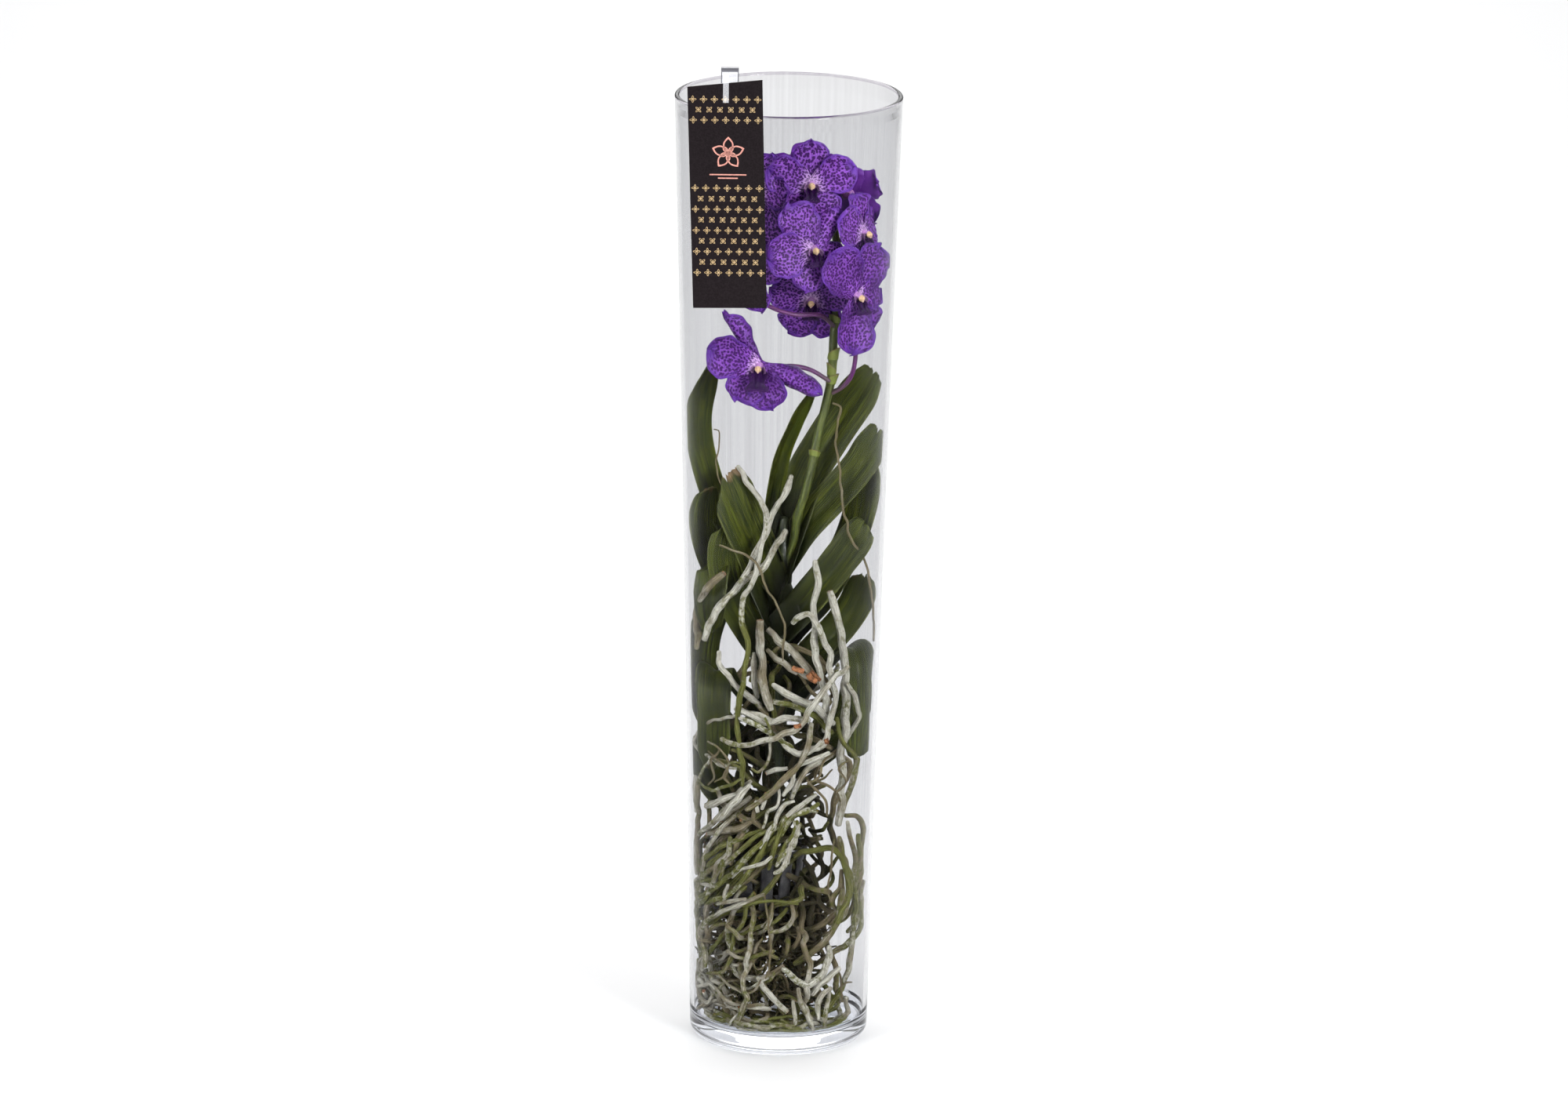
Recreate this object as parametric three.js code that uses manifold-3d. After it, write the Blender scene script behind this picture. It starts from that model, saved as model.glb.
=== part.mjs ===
// A vanda orchid standing on its own roots in a tall clear glass vase, with a card tag on the rim.
// Millimetres, +Z up. The origin is the centre of the vase's flat underside; -Y is the front.
import * as THREE from 'three';
import { mergeVertices } from 'three/addons/utils/BufferGeometryUtils.js';
import Module from 'manifold-3d';

const wasm = await Module();
wasm.setup();

// ---------- driving dimensions ----------
const GAP = 0.35; // left between pieces that touch
const VASE = {
  height: 700,
  footRadius: 64.5,
  rimRadius: 81.8,
  straight: 0.7, // share of the flare that is straight, the rest is curved
  wall: 3,
  lipWall: 3.8,
  lipHeight: 6,
  base: 14,
  footRound: 11,
  floorRound: 8,
  segments: 36,
  wallSteps: 7,
  arcSteps: 4,
};
const TAG = {
  thickness: 0.8,
  topY: -83.5,
  topZ: 723,
  bottomY: -79.5,
  bottomZ: 561,
  // corners as x and height above the foot line of the card
  bottomLeft: [-66.3, 0],
  bottomRight: [-14, 0.5],
  topRight: [-18.8, 166.5],
  topLeft: [-71.8, 161],
};
const CLIP = {
  left: -48,
  width: 12.5,
  sheet: 1.2,
  plateTop: 736,
  plateBottom: 687,
  barHeight: 3,
  tongueX: -44.5,
  tongueWidth: 4,
  tongueBottom: 711,
  jawY: -59.5,
  jawBottom: 688,
};
const BASKET = {
  x: -17,
  y: 0,
  z: 97,
  height: 47,
  bottomRadius: 32,
  topRadius: 37,
  sheet: 2,
  slats: 14,
  slatWidth: 10,
  rimHeight: 4,
  drainRadius: 9,
  segments: 28,
};
const LEAF = {
  thickness: 2,
  steps: 9,
  across: 2,
  baseShare: 0.75, // width at the stem as a share of the full width
  fullWidthAt: 0.5, // share of the length where the full width is reached
  tipStart: 0.85, // share of the length where the tip begins to narrow
  tipTaper: 1.6,
  foldAtStem: 0.75, // depth of the V as a share of the half width
  foldAtTip: 0.2,
};
// claw is the half width at the foot; a bulge under 1 moves the widest part towards the foot
const TEPAL = { thickness: 1.2, steps: 3, across: 2, claw: 3, bulge: 0.8 };
const COLUMN = { radius: 4.2, tipRadius: 3, length: 9, foot: 2, sides: 6 };
const LIP = { length: 13, footRadius: 3, tipRadius: 4.5, forward: 0.8, down: 0.6 };
const PEDICEL = { diameter: 3.2, straightEnd: 9 };
const SPIKE_DIAMETER = 6;
const STEM_DIAMETER = 15;
const TUBE_SIDES = 6;
const ROOT_SIDES = 5;
const STEP_LENGTH = 15; // length of a straight stretch in a bent tube
const SIMPLIFY = 0.02;
const MERGE_DISTANCE = 1e-4;
// directions in a lathe profile, in degrees
const DOWN = -90;
const OUTWARDS = 0;
const INWARDS = 180;

// ---------- solids ----------
function toSolid(geometry) {
  const bare = geometry.clone();
  for (const name of Object.keys(bare.attributes)) {
    if (name !== 'position') bare.deleteAttribute(name);
  }
  const merged = mergeVertices(bare, MERGE_DISTANCE);
  const build = (triangles) => new wasm.Manifold(new wasm.Mesh({
    numProp: 3,
    vertProperties: new Float32Array(merged.getAttribute('position').array),
    triVerts: new Uint32Array(triangles),
  }));
  const triangles = [...merged.index.array];
  const solid = build(triangles);
  return solid.volume() > 0 ? solid : build(triangles.reverse());
}

function toGeometry(solid) {
  const { vertProperties, triVerts } = solid.getMesh();
  const geometry = new THREE.BufferGeometry();
  geometry.setAttribute('position', new THREE.BufferAttribute(new Float32Array(vertProperties), 3));
  geometry.setIndex(new THREE.BufferAttribute(new Uint32Array(triVerts), 1));
  geometry.computeVertexNormals();
  return geometry;
}

function joined(solids) {
  return solids.reduce((whole, solid) => whole.add(solid));
}

function largestPiece(solid) {
  const pieces = solid.decompose();
  return pieces.reduce((best, piece) => (piece.volume() > best.volume() ? piece : best));
}

const vector = (point) => new THREE.Vector3(...point);

// ---------- vase ----------
function outerRadius(z) {
  const t = z / VASE.height;
  const flare = VASE.straight * t + (1 - VASE.straight) * t * t;
  return VASE.footRadius + (VASE.rimRadius - VASE.footRadius) * flare;
}

const innerRadius = (z) => outerRadius(z) - VASE.wall;

function arcPoints(centre, radius, fromAngle, toAngle) {
  const points = [];
  for (let i = 0; i <= VASE.arcSteps; i += 1) {
    const angle = THREE.MathUtils.degToRad(fromAngle + ((toAngle - fromAngle) * i) / VASE.arcSteps);
    const x = centre[0] + radius * Math.cos(angle);
    points.push(new THREE.Vector2(x, centre[1] + radius * Math.sin(angle)));
  }
  return points;
}

function wallPoints(radiusAt, fromZ, toZ) {
  const points = [];
  for (let i = 0; i <= VASE.wallSteps; i += 1) {
    const z = fromZ + ((toZ - fromZ) * i) / VASE.wallSteps;
    points.push(new THREE.Vector2(radiusAt(z), z));
  }
  return points;
}

function innerProfile(radiusAt, floor, top) {
  const corner = [radiusAt(floor + VASE.floorRound) - VASE.floorRound, floor + VASE.floorRound];
  return [
    new THREE.Vector2(0, floor),
    ...arcPoints(corner, VASE.floorRound, DOWN, OUTWARDS),
    ...wallPoints(radiusAt, floor + 2 * VASE.floorRound, top),
  ];
}

function vaseSolid() {
  const footCorner = [outerRadius(VASE.footRound) - VASE.footRound, VASE.footRound];
  const lipRadius = VASE.lipWall / 2;
  const lipCentre = [VASE.rimRadius - lipRadius, VASE.height - lipRadius];
  const outside = [
    new THREE.Vector2(0, 0),
    ...arcPoints(footCorner, VASE.footRound, DOWN, OUTWARDS),
    ...wallPoints(outerRadius, 2 * VASE.footRound, VASE.height - VASE.lipHeight),
    ...arcPoints(lipCentre, lipRadius, OUTWARDS, INWARDS),
  ];
  const inside = innerProfile(innerRadius, VASE.base, VASE.height - 2 * VASE.lipHeight);
  const section = [...outside, ...inside.reverse()];
  return toSolid(new THREE.LatheGeometry(section, VASE.segments).rotateX(Math.PI / 2));
}

// The room inside the glass, which everything that grows has to fit.
function roomSolid() {
  const radiusAt = (z) => innerRadius(z) - GAP;
  const profile = innerProfile(radiusAt, VASE.base + GAP, VASE.height);
  const closed = [...profile, new THREE.Vector2(0, VASE.height)];
  return toSolid(new THREE.LatheGeometry(closed, VASE.segments).rotateX(Math.PI / 2));
}

// ---------- tag and clip ----------
function boxSolid(low, high) {
  const size = vector(high).sub(vector(low));
  const middle = vector(low).add(vector(high)).multiplyScalar(0.5);
  return toSolid(new THREE.BoxGeometry(...size).translate(...middle));
}

function tagGeometry() {
  const corners = [TAG.bottomLeft, TAG.bottomRight, TAG.topRight, TAG.topLeft];
  const outline = new THREE.Shape(corners.map((corner) => new THREE.Vector2(...corner)));
  return new THREE.ExtrudeGeometry(outline, { depth: TAG.thickness, bevelEnabled: false, steps: 1 });
}

function tagMesh(material) {
  const mesh = new THREE.Mesh(tagGeometry(), material);
  const lean = Math.atan2(TAG.bottomY - TAG.topY, TAG.topZ - TAG.bottomZ);
  mesh.rotation.x = Math.PI / 2 + lean;
  mesh.position.set(0, TAG.bottomY, TAG.bottomZ);
  return mesh;
}

function cardBackAt(z) {
  const share = (z - TAG.bottomZ) / (TAG.topZ - TAG.bottomZ);
  return TAG.bottomY + (TAG.topY - TAG.bottomY) * share;
}

// A hook of clear sheet: a plate behind the card, a jaw over the rim and a tongue before the card.
function clipSolid() {
  const right = CLIP.left + CLIP.width;
  const cardFront = cardBackAt(CLIP.plateTop) - TAG.thickness;
  const plateFront = cardBackAt(CLIP.plateBottom) + GAP;
  const plateBack = plateFront + CLIP.sheet;
  const tongueFront = cardFront - GAP - CLIP.sheet;
  const bridgeBottom = VASE.height + GAP;
  const bridgeTop = bridgeBottom + CLIP.sheet;
  const barBottom = CLIP.plateTop - CLIP.barHeight;
  const tongueLeft = CLIP.tongueX - CLIP.tongueWidth / 2;
  const tongueRight = tongueLeft + CLIP.tongueWidth;
  return joined([
    boxSolid([CLIP.left, plateFront, CLIP.plateBottom], [right, plateBack, CLIP.plateTop]),
    boxSolid([CLIP.left, tongueFront, barBottom], [right, plateBack, CLIP.plateTop]),
    boxSolid([tongueLeft, tongueFront, CLIP.tongueBottom],
      [tongueRight, tongueFront + CLIP.sheet, CLIP.plateTop]),
    boxSolid([CLIP.left, plateFront, bridgeBottom], [right, CLIP.jawY, bridgeTop]),
    boxSolid([CLIP.left, CLIP.jawY - CLIP.sheet, CLIP.jawBottom], [right, CLIP.jawY, bridgeTop]),
  ]);
}

// ---------- basket ----------
const basketRadius = (height) => (
  BASKET.bottomRadius + ((BASKET.topRadius - BASKET.bottomRadius) * height) / BASKET.height
);

function ringSolid(innerBottom, outerBottom, innerTop, outerTop, low, high) {
  const section = [
    new THREE.Vector2(innerBottom, low),
    new THREE.Vector2(outerBottom, low),
    new THREE.Vector2(outerTop, high),
    new THREE.Vector2(innerTop, high),
    new THREE.Vector2(innerBottom, low),
  ];
  return toSolid(new THREE.LatheGeometry(section, BASKET.segments).rotateX(Math.PI / 2));
}

function basketSolid() {
  const { bottomRadius, topRadius, sheet, height, rimHeight } = BASKET;
  const parts = [
    ringSolid(BASKET.drainRadius, bottomRadius, BASKET.drainRadius, bottomRadius, 0, sheet),
    ringSolid(topRadius - 2 * sheet, topRadius, topRadius - 2 * sheet, topRadius,
      height - rimHeight, height),
  ];
  const lean = Math.atan2(topRadius - bottomRadius, height);
  for (let i = 0; i < BASKET.slats; i += 1) {
    const slat = new THREE.BoxGeometry(sheet, BASKET.slatWidth, height - sheet);
    slat.rotateY(lean);
    slat.translate((bottomRadius + topRadius) / 2 - sheet, 0, height / 2);
    slat.rotateZ((2 * Math.PI * i) / BASKET.slats);
    parts.push(toSolid(slat));
  }
  return joined(parts).translate([BASKET.x, BASKET.y, BASKET.z]);
}

// A point in the slot after the given slat: height above the basket's foot, and distance past its wall.
function slotPoint(slat, { height, outwards }) {
  const angle = (2 * Math.PI * (slat + 0.5)) / BASKET.slats;
  const radius = basketRadius(height) + outwards;
  return [
    BASKET.x + radius * Math.cos(angle),
    BASKET.y + radius * Math.sin(angle),
    BASKET.z + height,
  ];
}

// ---------- tubes: stem, spike, flower stalks and roots ----------
function tubeSolid(points, diameter, sides, grow = 0) {
  const route = new THREE.CatmullRomCurve3(points.map(vector), false, 'centripetal');
  const radius = diameter / 2 + grow;
  const outline = [];
  for (let i = 0; i < sides; i += 1) {
    const angle = (2 * Math.PI * i) / sides;
    outline.push(new THREE.Vector2(radius * Math.cos(angle), radius * Math.sin(angle)));
  }
  const steps = Math.max(2, Math.round(route.getLength() / STEP_LENGTH));
  const options = { steps, extrudePath: route, bevelEnabled: false };
  return toSolid(new THREE.ExtrudeGeometry(new THREE.Shape(outline), options));
}

// ---------- leaves: strap blades folded to a shallow V ----------
// spine runs from the stem to the tip; face is where the upper side looks, at the stem and at the tip.
const LEAVES = [
  {
    spine: [[-7, 10, 326], [-24, 14, 350], [-45, 14, 384], [-58, 10, 420], [-63, 6, 448], [-62, 3, 474],
      [-53, 2, 507]],
    width: 23, face: [[0.5, -0.8, 0.4], [0.55, -0.83, 0]],
  },
  {
    spine: [[3, 10, 340], [5, 12, 362], [10, 14, 392], [17.5, 16, 416], [31.5, 17, 442], [47, 17, 466],
      [66, 15, 496]],
    width: 32, face: [[-0.5, -0.8, 0.3], [-0.3, -0.9, 0.3]],
  },
  {
    spine: [[-4, 9, 356], [-9, 8, 374], [-11, 6, 390], [-9.5, 4, 407], [-6, 3, 425], [-1, 2, 443],
      [6.5, 1, 459], [19, 0, 482]],
    width: 20, face: [[0.75, -0.6, 0.1], [0.8, -0.55, 0]],
  },
  {
    spine: [[-3, 9, 328], [4, 8, 354], [18, 4, 381], [38, 0, 407], [56, -3, 432], [69, -4, 459]],
    width: 26, face: [[-0.5, -0.8, 0.3], [-0.3, -0.9, 0.3]],
  },
  {
    spine: [[-8, 7, 310], [-14, 1, 338], [-22, -6, 367], [-33, -12, 396], [-45, -14, 427]],
    width: 34, face: [[0.4, -0.85, 0.3], [0.3, -0.9, 0.3]],
  },
  {
    spine: [[4, 11, 286], [22, 16, 315], [42, 15, 350], [55, 10, 385], [59, 6, 415], [58, 4, 438]],
    width: 27, face: [[-0.5, -0.8, 0.3], [-0.5, -0.85, 0.1]],
  },
  {
    spine: [[-9, 12, 294], [-28, 16, 318], [-48, 11, 345], [-57, 4, 372], [-57, 0, 398], [-53, -2, 412]],
    width: 27, face: [[0.4, -0.8, 0.4], [0.6, -0.8, 0.1]],
  },
  {
    spine: [[-3, 4, 294], [10, -1, 316], [23, -5, 333], [37, -8, 352], [50, -8, 372], [59, -6, 390]],
    width: 27, face: [[-0.4, -0.85, 0.3], [-0.35, -0.9, 0.25]],
  },
  {
    spine: [[-9, 5, 276], [-24, -4, 303], [-37, -12, 333], [-43, -15, 362], [-40, -14, 389]],
    width: 25, face: [[0.3, -0.9, 0.3], [0.2, -0.95, 0.2]],
  },
  {
    spine: [[4, 6, 254], [20, 5, 280], [39, 4, 302], [53, 2, 325], [59, 0, 348]],
    width: 26, face: [[-0.4, -0.85, 0.3], [-0.4, -0.9, 0.2]],
  },
  {
    spine: [[-9, 9, 258], [-26, 10, 288], [-41, 7, 322], [-48, -3, 347], [-50, -16, 351], [-52, -24, 334],
      [-52, -24, 308]],
    width: 24, face: [[0.3, 0.6, 0.6], [-0.3, -0.93, 0.2]],
  },
  {
    spine: [[4, 7, 236], [22, 9, 258], [40, 7, 280], [51, -3, 292], [54, -15, 286], [55, -21, 264],
      [55, -22, 240], [54, -21, 214]],
    width: 25, face: [[-0.3, 0.6, 0.6], [0.35, -0.93, 0.2]],
  },
  {
    spine: [[-10, 7, 226], [-27, 8, 246], [-42, 4, 265], [-48, -8, 275], [-49, -21, 268], [-49, -27, 246],
      [-48, -28, 206]],
    width: 26, face: [[0.3, 0.6, 0.6], [-0.35, -0.93, 0.2]],
  },
  {
    spine: [[-11, 11, 200], [-34, 15, 214], [-52, 12, 236], [-59, 6, 262], [-59, 0, 292], [-53, -5, 318],
      [-44, -8, 340]],
    width: 27, face: [[0.4, -0.8, 0.4], [0.5, -0.85, 0.2]],
  },
  {
    spine: [[3, 10, 190], [24, 16, 206], [43, 16, 226], [55, 12, 248], [57, 8, 272]],
    width: 28, face: [[-0.4, -0.8, 0.4], [-0.4, -0.9, 0.2]],
  },
  {
    spine: [[-12, 11, 160], [-32, 17, 168], [-49, 15, 184], [-56, 10, 206], [-56, 6, 230]],
    width: 27, face: [[0.4, -0.8, 0.4], [0.5, -0.85, 0.2]],
  },
];

function leafHalfWidth(leaf, along) {
  const opening = Math.sin((Math.PI / 2) * Math.min(1, along / LEAF.fullWidthAt));
  const swell = LEAF.baseShare + (1 - LEAF.baseShare) * opening;
  const tip = Math.min(1, 1 - (along - LEAF.tipStart) * LEAF.tipTaper);
  return (leaf.width / 2) * swell * tip;
}

function leafSolid(leaf, grow = 0) {
  const spine = new THREE.CatmullRomCurve3(leaf.spine.map(vector), false, 'centripetal');
  const blade = new THREE.BoxGeometry(1, 1, 1, LEAF.across, LEAF.steps, 1);
  const position = blade.getAttribute('position');
  const [faceAtStem, faceAtTip] = leaf.face.map(vector);
  for (let i = 0; i < position.count; i += 1) {
    const across = 2 * position.getX(i);
    const along = position.getY(i) + 0.5;
    const through = 2 * position.getZ(i);
    const forward = spine.getTangentAt(along);
    const face = faceAtStem.clone().lerp(faceAtTip, along);
    const side = forward.clone().cross(face).normalize();
    const normal = side.clone().cross(forward);
    const halfWidth = leafHalfWidth(leaf, along);
    const depth = THREE.MathUtils.lerp(LEAF.foldAtStem, LEAF.foldAtTip, along);
    const fold = halfWidth * depth * Math.abs(across);
    const point = spine.getPointAt(along);
    point.addScaledVector(side, across * (halfWidth + grow));
    point.addScaledVector(normal, through * (LEAF.thickness / 2 + grow) + fold);
    position.setXYZ(i, ...point);
  }
  return toSolid(blade);
}

// ---------- flowers ----------
// at is the foot of the column, face where the flower looks; a tepal is its angle from upright,
// clockwise as seen from the front, its length, its width and how far its tip bends to the front.
const SEPAL_WIDTH = 25;
const PETAL_WIDTH = 29;
const FLOWERS = [
  {
    at: [17, -26, 640], face: [0, -1, 0.1], stalk: [[28, 4, 648], [24, -6, 656]],
    tepals: [[-2, 32, SEPAL_WIDTH + 3, 2], [-70, 33, PETAL_WIDTH, 3], [66, 33, PETAL_WIDTH, 2],
      [-142, 30, SEPAL_WIDTH, -4], [146, 30, SEPAL_WIDTH, -4]],
  },
  {
    at: [19, -37, 595], face: [0.3, -0.95, 0.1], stalk: [[31, 6, 618], [28, -12, 622]],
    tepals: [[-28, 38, SEPAL_WIDTH + 8, 3], [32, 35, PETAL_WIDTH, 0], [-98, 35, PETAL_WIDTH + 6, 1],
      [110, 26, SEPAL_WIDTH, -8], [-165, 31, SEPAL_WIDTH + 2, 4]],
  },
  {
    at: [50.5, -31, 560], face: [0.55, -0.83, 0], stalk: [[34, -1, 482], [41, -5, 487], [48, -10, 499], [50, -13, 530]],
    tepals: [[30, 40, SEPAL_WIDTH + 8, 0], [-36, 42, PETAL_WIDTH + 9, 4], [88, 26, SEPAL_WIDTH, -10],
      [-172, 42, SEPAL_WIDTH + 9, 3], [146, 34, SEPAL_WIDTH - 4, -6]],
  },
  {
    at: [54, -13, 602], face: [0.8, -0.6, 0.1], stalk: [[35, 5, 590], [44, 4, 598]],
    tepals: [[-4, 29, SEPAL_WIDTH + 4, 0], [-66, 33, PETAL_WIDTH + 2, 2], [75, 22, PETAL_WIDTH, -6],
      [-140, 30, SEPAL_WIDTH + 3, 0], [150, 27, SEPAL_WIDTH + 2, -6]],
  },
  {
    at: [46, 12, 626], face: [0.55, 0.78, 0.15], stalk: [[30, 6, 630], [37, 7, 634]],
    tepals: [[-14, 23, SEPAL_WIDTH - 6, -4], [-66, 24, SEPAL_WIDTH, 3], [62, 28, SEPAL_WIDTH, -3],
      [-140, 27, SEPAL_WIDTH, 3], [138, 27, SEPAL_WIDTH, 3]],
  },
  {
    at: [-20, -20, 632], face: [-0.5, -0.85, 0.05], stalk: [[29, 6, 630], [6, -2, 640]],
    tepals: [[14, 30, SEPAL_WIDTH, 0], [-60, 30, PETAL_WIDTH, 1], [84, 26, SEPAL_WIDTH, 2],
      [-134, 30, SEPAL_WIDTH, -2], [152, 44, SEPAL_WIDTH + 6, -2]],
  },
  {
    at: [-28, -16, 577], face: [-0.6, -0.78, 0.1],
    stalk: [[35, 0, 530], [24, -12, 541], [4, -22, 544], [-16, -22, 552], [-27, -14, 566]],
    tepals: [[8, 30, SEPAL_WIDTH, 2], [-66, 30, PETAL_WIDTH, 1], [78, 30, PETAL_WIDTH, -3],
      [-138, 30, SEPAL_WIDTH, 0], [156, 34, SEPAL_WIDTH, 0]],
  },
  {
    at: [-19, -30, 507.5], face: [-0.15, -0.97, -0.1],
    stalk: [[31, -3, 491], [17, -7, 500], [3, -12, 503.5], [-10, -18, 503.5]],
    tepals: [[-37, 46, SEPAL_WIDTH - 5, -2], [-74, 38, PETAL_WIDTH + 5, -1], [114, 48, SEPAL_WIDTH - 1, 2],
      [-148, 31, SEPAL_WIDTH + 5, 4], [162, 33, SEPAL_WIDTH + 5, 5]],
  },
  {
    at: [18, -1, 550], face: [-0.1, -0.95, -0.25], stalk: [[36, 4, 560], [30, 12, 562], [22, 14, 556]],
    tepals: [[4, 30, SEPAL_WIDTH, -2], [-72, 31, PETAL_WIDTH, 2], [70, 31, PETAL_WIDTH, 2],
      [-148, 33, SEPAL_WIDTH + 4, 0], [150, 33, SEPAL_WIDTH + 4, 0]],
  },
  {
    at: [13, 31, 629], face: [0.1, 0.95, 0.15], stalk: [[30, 6, 640], [24, 14, 642]],
    tepals: [[-3, 31, SEPAL_WIDTH, 2], [-70, 32, PETAL_WIDTH, 3], [69, 32, PETAL_WIDTH, 2],
      [-142, 30, SEPAL_WIDTH, 0], [142, 30, SEPAL_WIDTH, 0]],
  },
];

function flowerFrame(flower) {
  const face = vector(flower.face).normalize();
  const right = face.clone().cross(new THREE.Vector3(0, 0, 1)).normalize().negate();
  const up = face.clone().cross(right).normalize();
  if (up.z < 0) up.negate();
  return { at: vector(flower.at), face, right, up };
}

function tepalSolid(frame, [angle, length, width, bend], grow) {
  const sheet = new THREE.BoxGeometry(1, 1, 1, TEPAL.across, TEPAL.steps, 1);
  const position = sheet.getAttribute('position');
  const turn = THREE.MathUtils.degToRad(angle);
  const outwards = frame.up.clone().multiplyScalar(Math.cos(turn));
  outwards.addScaledVector(frame.right, Math.sin(turn));
  const side = outwards.clone().cross(frame.face);
  for (let i = 0; i < position.count; i += 1) {
    const across = 2 * position.getX(i);
    const along = position.getY(i) + 0.5;
    const through = 2 * position.getZ(i);
    const swell = Math.sin(Math.PI * along ** TEPAL.bulge);
    const halfWidth = TEPAL.claw + (width / 2 - TEPAL.claw) * swell;
    const point = frame.at.clone();
    point.addScaledVector(outwards, length * along + grow * (2 * along - 1));
    point.addScaledVector(side, across * (halfWidth + grow));
    point.addScaledVector(frame.face, through * (TEPAL.thickness / 2 + grow) + bend * along * along);
    position.setXYZ(i, ...point);
  }
  return toSolid(sheet);
}

function rodSolid(from, direction, length, radius, endRadius, sides) {
  const rod = new THREE.CylinderGeometry(endRadius, radius, length, sides);
  const turn = new THREE.Quaternion().setFromUnitVectors(new THREE.Vector3(0, 1, 0), direction);
  const middle = from.clone().addScaledVector(direction, length / 2);
  return toSolid(rod.applyQuaternion(turn).translate(...middle));
}

function flowerSolid(flower, grow = 0) {
  const frame = flowerFrame(flower);
  const back = frame.at.clone().addScaledVector(frame.face, -COLUMN.foot - grow);
  const column = rodSolid(back, frame.face, COLUMN.length + 2 * grow, COLUMN.radius + grow,
    COLUMN.tipRadius + grow, COLUMN.sides);
  const lipDirection = frame.face.clone().multiplyScalar(LIP.forward);
  lipDirection.addScaledVector(frame.up, -LIP.down).normalize();
  const lip = rodSolid(frame.at, lipDirection, LIP.length + grow, LIP.footRadius + grow,
    LIP.tipRadius + grow, COLUMN.sides);
  return joined([column, lip, ...flower.tepals.map((tepal) => tepalSolid(frame, tepal, grow))]);
}

function stalkPoints(flower) {
  const frame = flowerFrame(flower);
  const behind = frame.at.clone().addScaledVector(frame.face, -PEDICEL.straightEnd);
  const neck = frame.at.clone().addScaledVector(frame.face, -COLUMN.foot);
  return [...flower.stalk, behind.toArray(), neck.toArray()];
}

// ---------- stem and spike ----------
const STEM = [[-12, 4, 108], [-7, 9, 150], [-4, 9, 220], [-2, 9, 300], [0, 8, 384]];
const SPIKE = [
  [7, 0, 372], [9, -3, 390], [15.5, -4, 410], [20, -3, 430], [23, -2, 446], [28, -1, 468], [33, 0, 494],
  [34, 0, 520], [36, 2, 550], [36, 4, 580], [33, 5, 610], [29, 5, 650],
];
const BRACTS = [
  { at: [27, -3, 500], size: [4, 2.5, 3] },
  { at: [37, -3, 510], size: [4, 3, 4.5] },
  { at: [39, -2, 490], size: [3.5, 2.5, 3] },
  { at: [20.5, -4, 437], size: [4.5, 4, 4] },
];

function spikeSolid(grow = 0) {
  const parts = [tubeSolid(SPIKE, SPIKE_DIAMETER, TUBE_SIDES, grow)];
  for (const bract of BRACTS) {
    const size = bract.size.map((half) => half + grow);
    const knob = new THREE.IcosahedronGeometry(1, 0).scale(...size).translate(...bract.at);
    parts.push(toSolid(knob));
  }
  return joined(parts);
}

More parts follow.
